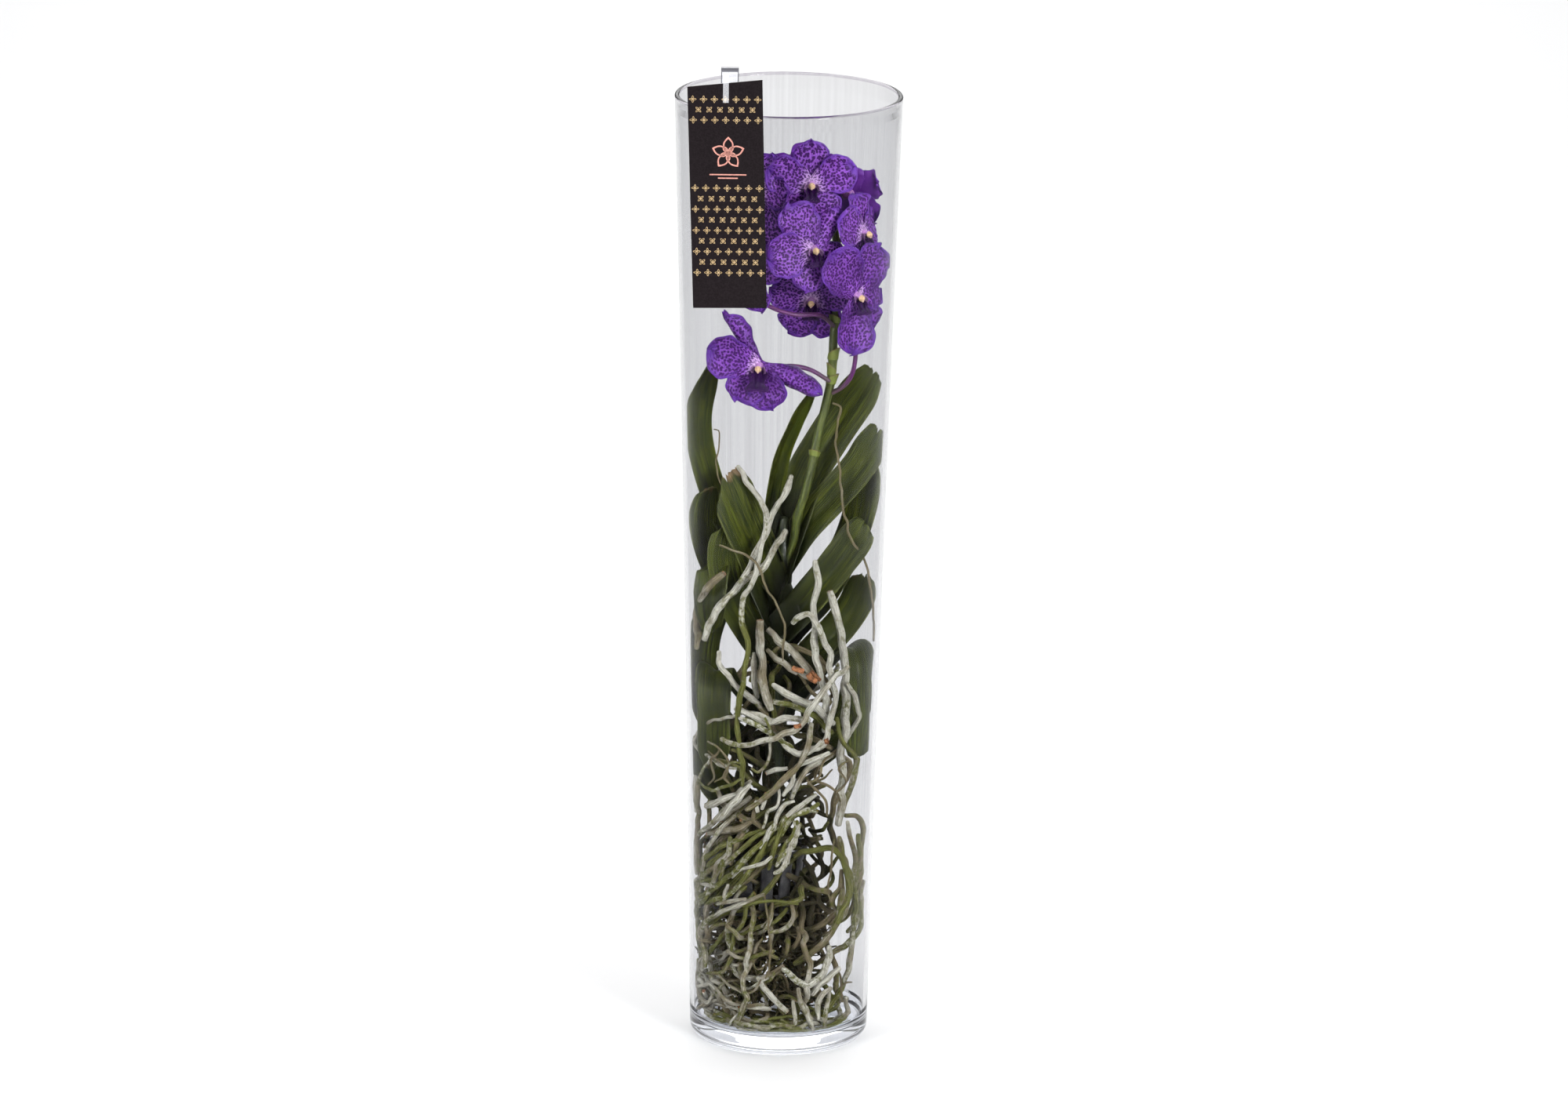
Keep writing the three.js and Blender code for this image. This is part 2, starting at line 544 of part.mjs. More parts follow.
// ---------- roots ----------
const ROOTS = [
  {
    diameter: 4,
    route: [[-32.5, -12, 430], [-27, -14, 421.5], [-17.5, -20, 406], [-13, -25, 395], [-16, -30, 371],
      [-20, -34, 354], [-28.5, -42, 331], [-27, -45, 315], [-25, -48, 300], [-27, -50, 288],
      [-31.5, -50, 254], [-31, -50, 238], [-28.5, -50, 202]],
  },
  {
    diameter: 5.4,
    route: [[1.5, -11, 382], [-5.5, -13, 370], [-15, -17, 356], [-33, -26, 342], [-44, -32, 330],
      [-52.5, -34, 318], [-57, -29, 306]],
  },
  {
    diameter: 4.5,
    route: [[5, -8, 420], [1, -9, 408], [-5.5, -11, 397.5], [-10, -14, 387], [-24, -26, 358],
      [-31, -33, 349]],
  },
  {
    diameter: 5,
    route: [[-43, -42, 357], [-53.5, -34, 345], [-61, -21, 327], [-62, -17, 314], [-62, -12, 294]],
  },
  {
    diameter: 6.2,
    route: [[33, -36, 343], [37, -36, 331], [41, -36, 314], [43, -36, 297], [45, -36, 280], [46, -36, 258],
      [44, -36, 232], [43, -36, 214], [44, -36, 190], [42, -36, 170]],
  },
  {
    diameter: 5.2,
    route: [[22.5, -42, 366], [22.5, -43, 338], [23, -44, 314], [25, -44, 297], [29, -43, 280],
      [32, -40, 262], [30, -34, 240]],
  },
  {
    diameter: 4.5,
    route: [[5.5, -46, 322], [12, -50, 328.5], [18.5, -53, 331], [24, -54, 325], [29.5, -52, 313],
      [35, -48, 301], [34, -45, 290], [34.5, -45, 281], [38, -46, 266], [36, -48, 256], [33, -50, 245],
      [31.5, -51, 234], [24.5, -51, 228], [18, -50, 226]],
  },
  {
    diameter: 6.3,
    route: [[-17, -34, 318], [-15.5, -36, 295], [-14.5, -37, 281], [-12, -38, 267], [-8.5, -39, 255]],
  },
  {
    diameter: 5.5,
    route: [[-10, -27, 312], [0, -31, 303], [10, -34, 296], [21, -35, 282], [27, -35, 274]],
  },
  {
    diameter: 5,
    route: [[-4, -30, 271], [3, -33, 266], [11, -36, 261], [22, -34, 256]],
  },
  {
    diameter: 4.5,
    route: [[47.5, -43.5, 290], [41, -48.5, 284], [36, -53, 279], [30.5, -55, 275], [24, -57, 266],
      [17.5, -58, 254], [13, -58, 247], [3, -58, 242], [-10.5, -58.5, 237], [-23.5, -57, 233],
      [-33, -53.5, 233], [-42, -47, 235]],
  },
  {
    diameter: 4.5,
    route: [[21, -52, 248], [20.5, -55, 236], [15, -57, 225], [8.5, -57, 214], [-0.5, -57, 205],
      [-13, -55, 194], [-24, -52, 184]],
  },
  {
    diameter: 3.8,
    route: [[47.5, -28, 174], [55, -20, 170], [58.5, -14, 163], [59.5, -10, 151], [59, -8, 136],
      [57, -9, 112], [51.5, -12, 98], [42, -16, 88]],
  },
  {
    diameter: 4,
    route: [[41.5, -45, 160], [45, -42, 150], [48.5, -37, 139], [52.5, -28, 122], [53, -25, 108],
      [53, -24, 92], [51, -25, 65], [47, -27, 46], [38, -30, 30], [33, -32, 19]],
  },
  {
    diameter: 3.8,
    route: [[-58, -12, 196], [-59.5, -14, 184], [-60, -12, 151], [-59, -12, 126], [-58, -10, 98],
      [-57, -8, 70], [-55, -7, 46], [-50, -6, 28]],
  },
  {
    diameter: 4.5,
    route: [[-52, -24, 103], [-43, -32, 116], [-26.5, -43, 134], [-13.5, -48, 152], [-2.5, -49, 168]],
  },
];

// The crown of roots at the foot of the stem: each root leaves through a slot of the basket and runs
// down to the glass floor. [slot, where it lands on the floor, where it ends on the floor]
const CROWN_DIAMETER = 4.2;
const CROWN_LIFT = 0.2; // keeps the sagging facets of a root clear of the floor
const IN_SLOT = { height: 14, outwards: 1 };
const PAST_SLOT = { height: 12, outwards: 8 };
const FLOOR_REST = VASE.base + GAP + CROWN_DIAMETER / 2 + CROWN_LIFT;
const CROWN = [
  { slot: 0, down: [38, 8, 60], land: [42, 14, FLOOR_REST], end: [22, 36, FLOOR_REST] },
  { slot: 2, down: [12, 48, 66], land: [8, 50, FLOOR_REST], end: [-22, 38, FLOOR_REST] },
  { slot: 4, down: [-26, 50, 62], land: [-36, 40, FLOOR_REST], end: [-46, 14, FLOOR_REST] },
  { slot: 8, down: [-50, -20, 70], land: [-44, -22, 32], end: [-34, -34, FLOOR_REST] },
  { slot: 10, down: [-27, -50, 66], land: [-22, -48, FLOOR_REST], end: [4, -50, FLOOR_REST] },
  { slot: 12, down: [18, -46, 62], land: [22, -42, FLOOR_REST], end: [42, -14, FLOOR_REST] },
];

function crownSolid(grow = 0) {
  const start = STEM[0];
  const collar = [start[0], start[1], BASKET.z + BASKET.sheet + GAP + CROWN_DIAMETER];
  const roots = CROWN.map((root) => {
    const out = slotPoint(root.slot, IN_SLOT);
    const past = slotPoint(root.slot, PAST_SLOT);
    const route = [collar, out, past, root.down, root.land, root.end];
    return tubeSolid(route, CROWN_DIAMETER, ROOT_SIDES, grow);
  });
  return joined(roots);
}

// ---------- materials ----------
const material = (color, roughness, metalness = 0) => (
  new THREE.MeshStandardMaterial({ color, roughness, metalness })
);
const MATERIALS = {
  glass: new THREE.MeshStandardMaterial({
    color: '#e4e6ea', roughness: 0.03, metalness: 0, transparent: true, opacity: 0.3,
  }),
  card: material('#26242c', 0.55),
  clearPlastic: material('#e8e8ea', 0.1),
  blackPlastic: material('#1b1b20', 0.5),
  stem: material('#56662f', 0.6),
  leaf: material('#33421f', 0.4),
  flower: material('#5c36ad', 0.65),
  pedicel: material('#6b2f74', 0.5),
  root: material('#b3b1a0', 0.85),
};

// ---------- assembly ----------
const orchid = new THREE.Group();
const room = roomSolid();
let taken = null; // everything placed in the vase so far, each piece grown by the gap

function addMesh(name, geometry, meshMaterial) {
  const mesh = new THREE.Mesh(geometry, meshMaterial);
  mesh.name = name;
  orchid.add(mesh);
}

// Adds a piece inside the vase: it is trimmed to the room, and gives way to the pieces before it.
function grow(name, makeSolid, meshMaterial) {
  let solid = makeSolid(0).intersect(room);
  if (taken) solid = solid.subtract(taken);
  addMesh(name, toGeometry(largestPiece(solid).simplify(SIMPLIFY)), meshMaterial);
  const reserved = makeSolid(GAP);
  taken = taken ? taken.add(reserved) : reserved;
}

const numbered = (word, index) => `${word}_${String(index + 1).padStart(2, '0')}`;

addMesh('vase', toGeometry(vaseSolid()), MATERIALS.glass);
const tag = tagMesh(MATERIALS.card);
tag.name = 'hang_tag';
orchid.add(tag);
addMesh('tag_clip', toGeometry(clipSolid()), MATERIALS.clearPlastic);

const basket = basketSolid();
addMesh('basket', toGeometry(basket), MATERIALS.blackPlastic);
taken = basket;

grow('main_stem', (gap) => tubeSolid(STEM, STEM_DIAMETER, TUBE_SIDES, gap), MATERIALS.stem);
grow('flower_spike', spikeSolid, MATERIALS.stem);
FLOWERS.forEach((flower, index) => {
  grow(numbered('flower', index), (gap) => flowerSolid(flower, gap), MATERIALS.flower);
});
FLOWERS.forEach((flower, index) => {
  const points = stalkPoints(flower);
  grow(numbered('pedicel', index), (gap) => tubeSolid(points, PEDICEL.diameter, ROOT_SIDES, gap),
    MATERIALS.pedicel);
});
LEAVES.forEach((leaf, index) => {
  grow(numbered('leaf', index), (gap) => leafSolid(leaf, gap), MATERIALS.leaf);
});
grow('root_crown', crownSolid, MATERIALS.root);
ROOTS.forEach((root, index) => {
  grow(numbered('root', index), (gap) => tubeSolid(root.route, root.diameter, ROOT_SIDES, gap),
    MATERIALS.root);
});

export default orchid;
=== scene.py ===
"""The looks of a vanda orchid in a tall clear glass vase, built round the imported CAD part.

Lengths in the tables are millimetres in the part's own frame: +Z up, -Y to the front, and the origin
at the centre of the vase's underside. They are turned into metres when a mesh is made.
"""

import math

import bpy
import numpy as np
from mathutils import Matrix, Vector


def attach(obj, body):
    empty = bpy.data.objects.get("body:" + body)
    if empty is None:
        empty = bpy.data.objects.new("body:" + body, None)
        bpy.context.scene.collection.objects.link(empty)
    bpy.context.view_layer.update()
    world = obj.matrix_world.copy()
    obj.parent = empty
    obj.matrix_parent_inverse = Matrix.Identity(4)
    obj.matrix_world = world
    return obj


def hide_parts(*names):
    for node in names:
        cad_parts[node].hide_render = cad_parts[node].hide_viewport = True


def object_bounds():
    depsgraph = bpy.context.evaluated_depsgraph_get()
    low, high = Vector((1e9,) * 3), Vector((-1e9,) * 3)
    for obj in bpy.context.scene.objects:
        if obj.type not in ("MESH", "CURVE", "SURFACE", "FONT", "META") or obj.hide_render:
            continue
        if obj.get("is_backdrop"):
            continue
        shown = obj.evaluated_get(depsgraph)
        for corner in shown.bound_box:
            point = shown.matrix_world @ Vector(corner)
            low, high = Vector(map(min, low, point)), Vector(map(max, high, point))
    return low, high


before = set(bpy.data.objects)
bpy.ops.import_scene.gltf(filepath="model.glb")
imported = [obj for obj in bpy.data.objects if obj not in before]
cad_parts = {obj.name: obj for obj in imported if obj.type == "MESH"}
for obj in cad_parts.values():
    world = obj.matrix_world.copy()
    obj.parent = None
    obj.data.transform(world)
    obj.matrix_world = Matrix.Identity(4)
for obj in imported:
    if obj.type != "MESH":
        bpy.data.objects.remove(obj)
cad_low, cad_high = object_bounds()

MM = 0.001
PHASE = 6.28  # random waves start anywhere between 0 and this

# ---------------------------------------------------------------- the vase's shape
VASE_HEIGHT = 700
FOOT_RADIUS = 64.5
RIM_RADIUS = 81.8
STRAIGHT = 0.7  # the share of the flare that is a plain cone; the rest grows with the height's square
WALL = 3
LIP_WALL = 3.8
LIP_HEIGHT = 6  # how far below the rim the wall starts to thicken
BASE = 14  # thickness of the glass floor
FOOT_ROUND = 11  # radius of the outer corner at the foot
FLOOR_ROUND = 8  # radius of the inner corner at the glass floor


def outer_radius(z):
    """The vase's radius outside, at a height."""
    t = np.asarray(z, float) / VASE_HEIGHT
    return FOOT_RADIUS + (RIM_RADIUS - FOOT_RADIUS) * (STRAIGHT * t + (1 - STRAIGHT) * t * t)


def keep_inside(points, margin):
    """Moves points that are nearer to the glass than the margin inwards."""
    kept = np.array(points, float)
    z = np.clip(kept[..., 2], BASE + margin, VASE_HEIGHT)
    kept[..., 2] = np.maximum(kept[..., 2], BASE + margin)
    drop = np.clip(BASE + FLOOR_ROUND - z, 0, FLOOR_ROUND)
    limit = outer_radius(z) - WALL - margin - FLOOR_ROUND + np.sqrt(FLOOR_ROUND**2 - drop**2)
    radius = np.hypot(kept[..., 0], kept[..., 1])
    kept[..., :2] *= np.minimum(1, limit / np.maximum(radius, 1e-6))[..., None]
    return kept


# ---------------------------------------------------------------- curves and meshes
def unit(v):
    v = np.asarray(v, float)
    return v / np.maximum(np.linalg.norm(v, axis=-1, keepdims=True), 1e-12)


def stack(*parts):
    """Arrays and numbers side by side along a new last axis."""
    return np.stack(np.broadcast_arrays(*parts), axis=-1)


def smooth_line(points, count=None, step=None):
    """A centripetal Catmull-Rom curve through the points, sampled at even steps."""
    p = np.asarray(points, float)
    p = np.vstack([2 * p[0] - p[1], p, 2 * p[-1] - p[-2]])
    dense = []
    for i in range(1, len(p) - 2):
        q = p[i - 1 : i + 3]
        t = np.concatenate([[0], np.cumsum(np.linalg.norm(np.diff(q, axis=0), axis=1) ** 0.5)])
        s = np.linspace(t[1], t[2], 20, endpoint=False)[:, None]
        a = [((t[k + 1] - s) * q[k] + (s - t[k]) * q[k + 1]) / (t[k + 1] - t[k]) for k in range(3)]
        b = [((t[k + 2] - s) * a[k] + (s - t[k]) * a[k + 1]) / (t[k + 2] - t[k]) for k in range(2)]
        dense.append(((t[2] - s) * b[0] + (s - t[1]) * b[1]) / (t[2] - t[1]))
    dense = np.vstack(dense + [p[-2:-1]])
    run = np.concatenate([[0], np.cumsum(np.linalg.norm(np.diff(dense, axis=0), axis=1))])
    if count is None:
        count = max(5, int(round(run[-1] / step)) + 1)
    even = np.linspace(0, run[-1], count)
    return stack(*(np.interp(even, run, dense[:, k]) for k in range(3)))


def tangents(line):
    return unit(np.gradient(line, axis=0))


def ease(x, low, high):
    """0 below low, 1 above high and smooth between them."""
    t = np.clip((np.asarray(x, float) - low) / (high - low), 0, 1)
    return t * t * (3 - 2 * t)


def grid_faces(rows, cols, closed=False):
    """Quads of a grid of points; closed joins the last column to the first."""
    across = cols if closed else cols - 1
    i, j = np.meshgrid(np.arange(rows - 1), np.arange(across), indexing="ij")
    k = (j + 1) % cols
    quads = stack(i * cols + j, i * cols + k, (i + 1) * cols + k, (i + 1) * cols + j)
    return quads.reshape(-1, 4).tolist()


def shape(points, faces, uv, tint, slot=0):
    """Part of a piece. Tint is three numbers a point, which each material reads in its own way."""
    points = np.asarray(points, float).reshape(-1, 3)
    tint = np.broadcast_to(np.asarray(tint, float), (len(points), 3))
    return {
        "points": points,
        "faces": faces,
        "uv": np.asarray(uv, float).reshape(-1, 2),
        "tint": tint,
        "slots": [slot] * len(faces),
    }


def make_piece(name, shapes, materials, replaces=(), smooth=True):
    """One mesh object of several shapes. It rides on the part and stands for the CAD nodes named."""
    points, faces, uv, tint, slots, start = [], [], [], [], [], 0
    for s in shapes:
        points.append(s["points"])
        faces += [[i + start for i in face] for face in s["faces"]]
        uv.append(s["uv"])
        tint.append(s["tint"])
        slots += s["slots"]
        start += len(s["points"])
    points, uv, tint = np.vstack(points), np.vstack(uv), np.vstack(tint)
    mesh = bpy.data.meshes.new(name)
    mesh.from_pydata((points * MM).tolist(), [], faces)
    corner = np.zeros(len(mesh.loops), np.int32)
    mesh.loops.foreach_get("vertex_index", corner)
    layer = mesh.uv_layers.new(name="UVMap")
    layer.data.foreach_set("uv", uv[corner].astype(np.float32).ravel())
    attribute = mesh.attributes.new("tint", "FLOAT_VECTOR", "POINT")
    attribute.data.foreach_set("vector", tint.astype(np.float32).ravel())
    mesh.polygons.foreach_set("material_index", slots)
    mesh.polygons.foreach_set("use_smooth", [smooth] * len(faces))
    for material in materials:
        mesh.materials.append(material)
    mesh.update()
    made = bpy.data.objects.new(name, mesh)
    bpy.context.scene.collection.objects.link(made)
    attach(made, "root")
    if replaces:
        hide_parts(*replaces)


def sheet(surface, thickness, uv, tint, slot=0):
    """A closed thin body about a grid of points: a front, a back and the edge between them.

    The third value of the tint is 1 on the back.
    """
    rows, cols = surface.shape[:2]
    normal = unit(np.cross(np.gradient(surface, axis=1), np.gradient(surface, axis=0)))
    half = np.broadcast_to(np.asarray(thickness, float), (rows, cols))[..., None] / 2
    front = (surface + normal * half).reshape(-1, 3)
    behind = (surface - normal * half).reshape(-1, 3)
    count = rows * cols
    faces = grid_faces(rows, cols)
    faces = [face[::-1] for face in faces] + [[i + count for i in face] for face in faces]
    rim = list(range(cols))
    rim += [i * cols + cols - 1 for i in range(1, rows)]
    rim += [(rows - 1) * cols + j for j in range(cols - 2, -1, -1)]
    rim += [i * cols for i in range(rows - 2, 0, -1)]
    for a, b in zip(rim, rim[1:] + rim[:1]):
        faces.append([a, b, b + count, a + count])
    tint = np.broadcast_to(np.asarray(tint, float), (rows, cols, 3)).reshape(-1, 3)
    tint_back = tint.copy()
    tint_back[:, 2] = 1
    uv = uv.reshape(-1, 2)
    return shape(np.vstack([front, behind]), faces, np.vstack([uv, uv]), np.vstack([tint, tint_back]), slot)


# Rings beyond an end, from the outermost inwards: how far out and how wide, both in radii. An end is
# T, a rounded tip, or B, broken off and hollow.
TUBE_ENDS = {
    "T": [(0.95, 0.02), (0.85, 0.45), (0.6, 0.78), (0.3, 0.95)],
    "B": [(-0.8, 0.02), (-0.8, 0.55), (-0.1, 0.72), (0.05, 0.92)],
}
FAR = 99  # where the brown of a broken end has long faded


def tube(route, radius, sides, tint, ends="TT", lump=0.0, seed=0, slot=0):
    """A round body along a route, lumpy by the share that lump gives and browned towards its broken ends."""
    rng = np.random.default_rng(seed)
    route = np.asarray(route, float)
    count = len(route)
    radius = np.broadcast_to(np.asarray(radius, float), (count,)).copy()
    along = np.concatenate([[0], np.cumsum(np.linalg.norm(np.diff(route, axis=0), axis=1))])
    if lump:
        phase = rng.uniform(0, PHASE, 3)
        waves = np.sin(along / 7.3 + phase[0]) + 0.7 * np.sin(along / 3.1 + phase[1])
        radius *= 1 + lump * (waves + 0.6 * np.sin(along / 17 + phase[2]))
    forward = tangents(route)
    across = unit(np.cross(forward[0], [0.31, 0.2, 0.93] if abs(forward[0][2]) < 0.9 else [1, 0.2, 0]))
    side = np.empty_like(forward)
    for i, f in enumerate(forward):
        across = unit(across - f * np.dot(across, f))
        side[i] = across
    other = np.cross(forward, side)
    tint = np.array(np.broadcast_to(np.asarray(tint, float), (count, 3)))
    rows, rad, mid, tints = [], [], [], []

    def add(i, shift, factor, brown):
        """A ring at route point i, shifted ahead and scaled by its radius there."""
        mid.append(route[i] + forward[i] * shift * radius[i])
        rad.append(radius[i] * factor)
        rows.append(i)
        tints.append(tint[i] + np.array([0, brown, 0]))

    broken = [end == "B" for end in ends]
    for shift, factor in TUBE_ENDS[ends[0]]:
        add(0, -shift, factor, 0.5 * broken[0])
    for i in range(count):
        near = min(along[i] if broken[0] else FAR, along[-1] - along[i] if broken[1] else FAR)
        add(i, 0, 1, 0.4 * math.exp(-near / 1.6))
    for shift, factor in reversed(TUBE_ENDS[ends[1]]):
        add(count - 1, shift, factor, 0.5 * broken[1])
    rows, rad, mid, tints = np.array(rows), np.array(rad), np.array(mid), np.array(tints)
    angle = np.arange(sides) * 2 * math.pi / sides
    wobble = 1 + (lump * 0.8) * np.sin(2 * angle[None, :] + (along[rows] / 9)[:, None] + rng.uniform(0, 6))
    ring = np.cos(angle)[None, :, None] * side[rows][:, None]
    ring = ring + np.sin(angle)[None, :, None] * other[rows][:, None]
    points = mid[:, None] + ring * (rad[:, None] * wobble)[..., None]
    uv = stack(angle[None, :] * 2.0, along[rows][:, None])
    return shape(points, grid_faces(len(rows), sides, closed=True), uv, np.repeat(tints, sides, axis=0), slot)


def lathe(profile, segments):
    """A surface turned round the vertical from pairs of radius and height."""
    profile = np.asarray(profile, float)
    angle = np.arange(segments) * 2 * math.pi / segments
    r, z = profile[:, 0], profile[:, 1]
    points = stack(r[:, None] * np.cos(angle), r[:, None] * np.sin(angle), z[:, None])
    uv = stack(angle[None, :], z[:, None])
    return shape(points, grid_faces(len(profile), segments, closed=True), uv, [0, 0, 0])


def arc(centre, radius, start, stop, count):
    """Points of an arc between two angles in degrees."""
    angle = np.radians(np.linspace(start, stop, count))
    return [(centre[0] + radius * math.cos(a), centre[1] + radius * math.sin(a)) for a in angle]


# ---------------------------------------------------------------- materials
class Surface:
    """A material with one Principled shader, and short calls for the nodes that feed it.

    Lengths in it are millimetres, also in the UV map. Colours are linear.
    """

    def __init__(self, name, **sockets):
        self.material = bpy.data.materials.new(name)
        self.material.use_nodes = True
        self.tree = self.material.node_tree
        self.tree.nodes.clear()
        self.shader = self.node("ShaderNodeBsdfPrincipled")
        self.out = self.node("ShaderNodeOutputMaterial", {"Surface": self.shader.outputs[0]})
        self.set(**sockets)

    def set(self, **sockets):
        for key, value in sockets.items():
            self.put(self.shader.inputs[key.replace("_", " ")], value)

    def put(self, socket, value):
        if isinstance(value, bpy.types.NodeSocket):
            self.tree.links.new(value, socket)
        elif isinstance(value, tuple) and len(value) == 3 and socket.type == "RGBA":
            socket.default_value = (*value, 1)
        else:
            socket.default_value = value

    def node(self, kind, inputs=None, **settings):
        made = self.tree.nodes.new(kind)
        for key, value in settings.items():
            setattr(made, key, value)
        for key, value in (inputs or {}).items():
            self.put(made.inputs[key], value)
        return made

    def mix(self, factor, a, b):
        made = self.node("ShaderNodeMix", {0: factor, 6: a, 7: b}, data_type="RGBA")
        return made.outputs[2]

    def math(self, operation, a, b=0.0):
        return self.node("ShaderNodeMath", {0: a, 1: b}, operation=operation).outputs[0]

    def ramp(self, value, low, high, to_low=0.0, to_high=1.0):
        names = ("Value", "From Min", "From Max", "To Min", "To Max")
        made = self.node("ShaderNodeMapRange", dict(zip(names, (value, low, high, to_low, to_high))))
        made.interpolation_type = "SMOOTHSTEP"
        return made.outputs[0]

    def noise(self, vector, scale, detail=3.0, roughness=0.55, output=0):
        inputs = {"Vector": vector, "Scale": scale, "Detail": detail, "Roughness": roughness}
        return self.node("ShaderNodeTexNoise", inputs).outputs[output]

    def cells(self, vector, scale):
        inputs = {"Vector": vector, "Scale": scale, "Randomness": 0.9}
        return self.node("ShaderNodeTexVoronoi", inputs, voronoi_dimensions="2D")

    def scaled(self, vector, x, y, z=1.0):
        return self.node("ShaderNodeMapping", {"Vector": vector, "Scale": (x, y, z)}).outputs[0]

    def uv(self):
        return self.node("ShaderNodeUVMap", uv_map="UVMap").outputs[0]

    def place(self):
        """Object coordinates in millimetres."""
        return self.scaled(self.node("ShaderNodeTexCoord").outputs["Object"], 1000, 1000, 1000)

    def tint(self):
        made = self.node("ShaderNodeAttribute", attribute_name="tint", attribute_type="GEOMETRY")
        return self.node("ShaderNodeSeparateXYZ", {0: made.outputs["Vector"]}).outputs

    def bump(self, height, strength, distance):
        inputs = {"Height": height, "Strength": strength, "Distance": distance * MM}
        self.put(self.shader.inputs["Normal"], self.node("ShaderNodeBump", inputs).outputs[0])


def let_lamps_through(s):
    """Lets lamplight pass a clear material, so that what is inside gets its light."""
    light = s.node("ShaderNodeLightPath")
    clear = s.node("ShaderNodeBsdfTransparent", {"Color": (0.92, 0.93, 0.94)})
    shadow = light.outputs["Is Shadow Ray"]
    both = s.node("ShaderNodeMixShader", {0: shadow, 1: s.shader.outputs[0], 2: clear.outputs[0]})
    s.put(s.out.inputs["Surface"], both.outputs[0])


def glass_surface(name, low, high, ior, shine, blue):
    """Drawn glass, faintly streaked along its height between two tints.

    The refractive index is set below real glass's, because the plant shows nearly straight in the photograph.
    Shine weakens the reflections, and blue tints them.
    """
    s = Surface(name, Roughness=0.0, IOR=ior, Transmission_Weight=1.0)
    drawn = s.noise(s.scaled(s.uv(), 26, 0.003), 1.0, 3.0, 0.7)
    s.set(Base_Color=s.mix(s.ramp(drawn, 0.3, 0.7), low, high))
    s.set(Specular_Tint=(shine, shine, shine * blue))
    let_lamps_through(s)
    return s.material


CLIP_MIDDLE = -41.75
CLIP_SIDES = (5.2, 5.9)  # painted shade: the clip darkens between these distances from its middle
CLIP_TOP = (732.6, 733.4)  # and between these heights


def clip_surface():
    """Clear plastic that is slightly milky, with painted shade at its cut edges and a painted darker bar along
    the top, which stand in for the dark outlines that refraction draws there.
    """
    s = Surface("clear_plastic", Roughness=0.03, IOR=1.49, Transmission_Weight=0.78)
    place = s.node("ShaderNodeSeparateXYZ", {0: s.place()}).outputs
    off = s.math("ABSOLUTE", s.math("ADD", place[0], -CLIP_MIDDLE))
    dark = s.math("MAXIMUM", s.ramp(off, *CLIP_SIDES), s.ramp(place[2], *CLIP_TOP))
    s.set(Base_Color=s.mix(dark, (0.86, 0.865, 0.89), (0.16, 0.16, 0.18)))
    let_lamps_through(s)
    return s.material


def leaf_surface():
    """Dark green with light veins along the blade. The tint holds the edge, the dryness (below 0 it is painted
    shade towards the leaf's foot) and the back.
    """
    s = Surface("leaf", Specular_IOR_Level=0.17)
    edge, dry, back = s.tint()[:3]
    uv = s.uv()
    streak = s.noise(s.scaled(uv, 0.75, 0.012), 1.0, 4.0, 0.6)
    fine = s.noise(s.scaled(uv, 3.2, 0.03), 1.0, 2.0, 0.5)
    broad = s.noise(s.scaled(uv, 0.24, 0.006), 1.0, 2.0, 0.5)
    patch = s.noise(s.place(), 0.035, 4.0, 0.6)
    speck = s.noise(s.place(), 0.42, 3.0, 0.7)
    green = s.mix(s.ramp(streak, 0.32, 0.68), (0.0032, 0.0048, 0.0002), (0.016, 0.021, 0.0007))
    green = s.mix(s.ramp(broad, 0.5, 0.68, 0.0, 0.65), green, (0.052, 0.066, 0.003))
    green = s.mix(s.ramp(fine, 0.47, 0.62, 0.0, 0.7), green, (0.085, 0.10, 0.009))
    green = s.mix(s.ramp(patch, 0.35, 0.75, 0.0, 0.65), green, (0.006, 0.008, 0.0015))
    green = s.mix(s.ramp(speck, 0.66, 0.76, 0.0, 0.5), green, (0.085, 0.085, 0.03))
    green = s.mix(s.math("MULTIPLY", back, 0.45), green, (0.036, 0.046, 0.009))
    green = s.mix(s.ramp(edge, 0.9, 1.0, 0.0, 0.5), green, (0.11, 0.12, 0.04))
    # Painted shade: the leaves' feet darken where the dryness is below 0.
    green = s.mix(s.ramp(dry, -0.9, -0.05, 0.85, 0.0), green, (0.0015, 0.0025, 0.0005))
    worn = s.math("ADD", dry, s.ramp(patch, 0.3, 0.8, -0.35, 0.25))
    brown = s.mix(s.ramp(fine, 0.3, 0.7), (0.055, 0.032, 0.014), (0.19, 0.125, 0.06))
    s.set(Base_Color=s.mix(s.ramp(worn, 0.3, 0.75), green, brown))
    s.set(Roughness=s.ramp(speck, 0.3, 0.7, 0.36, 0.55))
    s.bump(s.math("ADD", streak, s.math("MULTIPLY", fine, 0.6)), 0.35, 0.6)
    return s.material


